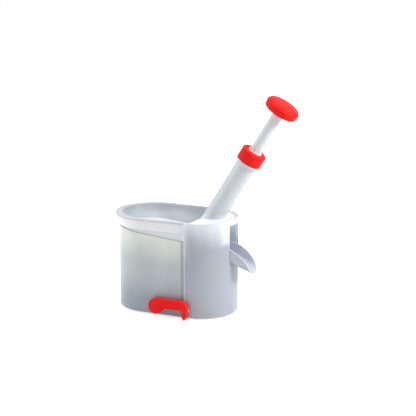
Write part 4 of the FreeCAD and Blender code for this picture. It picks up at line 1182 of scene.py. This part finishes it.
@dataclass
class SuctionFoot(SubAssembly):
    """The rubber cup that holds the pitter down, its stud and shaft, and the red lever that works them."""

    cup_radius: float = 37.0
    cup_edge: float = 1.1
    hollow: tuple[tuple[float, float], ...] = ((0.0, 0.85), (9.0, 0.85), (19.0, 0.6), (25.0, 0.2))
    seals: tuple[float, ...] = (26.0, 29.0, 32.0)
    seal: tuple[tuple[float, float], ...] = ((0.0, 0.0), (1.4, 0.0), (1.9, 0.35), (2.5, 0.35))
    sole: float = 35.0
    crown: float = 3.5
    crown_radius: float = 11.8
    boss_radius: float = 7.8
    boss_top: float = 4.3
    neck_radius: float = 3.9
    flange_radius: float = 6.3
    flange_top: float = 3.0
    flange_low: float = 1.2
    lever_back: float = -51.3
    lever_front: float = -59.8
    lever_edge: float = 1.5
    leg_half: float = 3.2
    leg_round: float = 2.2
    tip: float = 0.9
    tip_round: float = 0.5
    point: float = 3.6
    top: float = 26.1
    arm: float = 12.0
    reach: float = 41.0
    thumb_radius: float = 10.3
    elbow_radius: float = 9.0

    def cup(self) -> None:
        """Makes the rubber cup with sealing rings under its edge."""
        under = [*self.hollow, *((start + out, height) for start in self.seals for out, height in self.seal)]
        edge = rounded([
            (self.sole, 0.0, 0.0),
            (self.cup_radius, 0.0, 0.3),
            (self.cup_radius, self.cup_edge, 0.5),
            (self.crown_radius, self.crown, 3.0),
            (self.boss_radius, self.crown, 0.6),
            (self.boss_radius, self.boss_top, 0.35),
            (self.neck_radius, self.boss_top, 0.2),
            (self.neck_radius, self.flange_top, 0.0),
        ], 5)
        flange = [(self.flange_radius, self.flange_top), (self.flange_radius, self.flange_low), (0.0, self.flange_low)]
        shape = Shape()
        shape.turn(upright(0.0, 0.0), [*under, *edge, *flange], 128)
        piece = shape.piece("rubber_cup", self.finishes.foot_rubber)
        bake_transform(piece)
        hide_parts("suction_cup")

    def lever_outline(self) -> list[tuple[float, float]]:
        """Gives the lever's outline, seen from the front.

        Returns:
            X and Z of its points.
        """
        low = self.top - self.arm
        centre = (-self.reach, self.top - self.thumb_radius)
        drop = math.degrees(math.asin((low - centre[1]) / self.thumb_radius))
        thumb = arc(centre, self.thumb_radius, 90.0, 360.0 + drop, 44)
        half, shoulder = self.leg_half, self.tip + self.point
        leg = rounded([(*thumb[-1], 0.0), (-half, low, self.leg_round), (-half, shoulder, 0.0),
                       (0.0, self.tip, self.tip_round), (half, shoulder, 0.0)])[1:]
        elbow = arc((half - self.elbow_radius, self.top - self.elbow_radius), self.elbow_radius, 0.0, 90.0, 14)
        return [*thumb, *leg, *elbow]

    def lever(self) -> None:
        """Makes the lever with its round thumb pad and softened edges."""
        shape = Shape()
        outline = self.lever_outline()
        front, back = (shape.row([Vector((x, y, z)) for x, z in outline]) for y in (self.lever_front, self.lever_back))
        shape.join(front, back)
        shape.faces += [tuple(front), tuple(reversed(back))]
        mount(shape.piece("red_lever", self.finishes.red, bevel=self.lever_edge), Body.LEVER, "suction_lever")

    def build(self) -> None:
        """Makes the cup and the lever and dresses the stud and the shaft."""
        self.dress(self.finishes.bearing, "suction_stud", "cam_shaft")
        self.cup()
        self.lever()


@dataclass(frozen=True)
class Lamp:
    """A square soft lamp, in metres and watts."""

    name: str
    place: RGB
    aim: RGB
    size: float
    power: float

    def hang(self) -> None:
        """Hangs the lamp where it belongs."""
        data = bpy.data.lights.new(self.name, "AREA")
        data.shape = "SQUARE"
        data.size = self.size
        data.energy = self.power
        lamp = place_in_scene(self.name, data)
        lamp.location = self.place
        lamp.rotation_euler = (Vector(self.aim) - Vector(self.place)).to_track_quat("-Z", "Y").to_euler()


@dataclass
class Studio:
    """A pale table top, a soft overhead light and a softer one at each side."""

    floor_half: float = 3.0
    floor_grey: float = 0.82
    floor_glow: float = 0.64
    glow_near: float = 0.16
    glow_far: float = 0.6
    sky: float = 0.53
    sky_colour: RGB = (0.95, 0.975, 1.0)
    lamps: tuple[Lamp, ...] = (
        Lamp("top_softbox", (0.15, 0.25, 1.5), (0.0, 0.0, 0.1), 1.2, 9.0),
        Lamp("right_softbox", (1.1, -0.05, 0.7), (0.0, 0.0, 0.12), 0.3, 10.0),
        Lamp("left_softbox", (-1.35, -0.45, 0.45), (-0.05, 0.0, 0.12), 0.8, 7.5))

    def paint(self) -> bpy.types.Material:
        """Makes the table's paint, which shows white, keeps the shadow and can be looked through from below.

        Returns:
            The material.
        """
        material = bpy.data.materials.new("table_paint")
        material.use_nodes = True
        shading = Shading(material.node_tree)
        matt = shading.add("BsdfDiffuse", {"Color": (self.floor_grey,) * 3})
        distance = shading.add("VectorMath", {0: shading.place()}, operation="LENGTH").outputs["Value"]
        pale = shading.ranged(distance, self.glow_near, self.glow_far, self.floor_glow, 1.0)
        white = shading.add("Emission", {"Strength": shading.product(shading.looked_at(), pale)})
        both = shading.add("AddShader", {0: matt.outputs[0], 1: white.outputs[0]})
        clear = shading.add("BsdfTransparent").outputs[0]
        one_way = shading.mixed(shading.add("NewGeometry").outputs["Backfacing"], both.outputs[0], clear)
        shading.add("OutputMaterial", {"Surface": one_way})
        return material

    def lay_floor(self) -> None:
        """Lays the table top."""
        mesh = bpy.data.meshes.new("table_top")
        shape = bmesh.new()
        bmesh.ops.create_grid(shape, x_segments=8, y_segments=8, size=self.floor_half)
        shape.to_mesh(mesh)
        shape.free()
        mesh.materials.append(self.paint())
        place_in_scene("table_top", mesh)

    def light_room(self) -> None:
        """Sets the even light of the room, seen as white behind the pitter."""
        world = bpy.data.worlds.new("pale_room")
        bpy.context.scene.world = world
        world.use_nodes = True
        shading = Shading(world.node_tree)
        seen = shading.maths("MINIMUM", shading.looked_at(), 1.0)
        room = shading.add("Background", {"Color": self.sky_colour, "Strength": self.sky}).outputs[0]
        white = shading.add("Background", {"Color": (1.0, 1.0, 1.0), "Strength": 1.0}).outputs[0]
        shading.add("OutputWorld", {"Surface": shading.mixed(seen, room, white)})

    def build(self) -> None:
        """Sets up the floor, the room and the lamps."""
        self.lay_floor()
        self.light_room()
        for lamp in self.lamps:
            lamp.hang()


@dataclass
class Viewpoint:
    """The camera, at the height and side from which the pitter was seen."""

    azimuth: float = 22.0
    elevation: float = 13.7
    target: RGB = (10.1 * MM, 0.0, 140.45 * MM)
    distance: float = 1322.7 * MM
    lens: float = 86.54
    sensor: float = 36.0
    farthest: float = 20.0

    def build(self) -> None:
        """Places the camera and makes it the scene's."""
        data = bpy.data.cameras.new("viewpoint")
        data.lens = self.lens
        data.sensor_width = self.sensor
        data.clip_end = self.farthest
        camera = place_in_scene("viewpoint", data)
        turn = math.radians(self.azimuth)
        tilt = math.radians(self.elevation)
        back = Vector((math.sin(turn) * math.cos(tilt), -math.cos(turn) * math.cos(tilt), math.sin(tilt)))
        camera.location = Vector(self.target) + back * self.distance
        camera.rotation_euler = (-back).to_track_quat("-Z", "Y").to_euler()
        bpy.context.scene.camera = camera


def main() -> None:
    """Builds the scene piece by piece."""
    logging.basicConfig(level=logging.INFO, format="%(message)s")
    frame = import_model()
    scene = bpy.context.scene
    scene.view_settings.view_transform = "Standard"

    Viewpoint().build()
    Studio().build()

    finishes = Finishes()
    for group in (HousingShell, Plunger, PittingCup, FruitPath, SuctionFoot):
        log.info("sub-assembly %s", group.__name__)
        group(frame["nodes"], finishes).build()


if __name__ == "__main__":
    main()
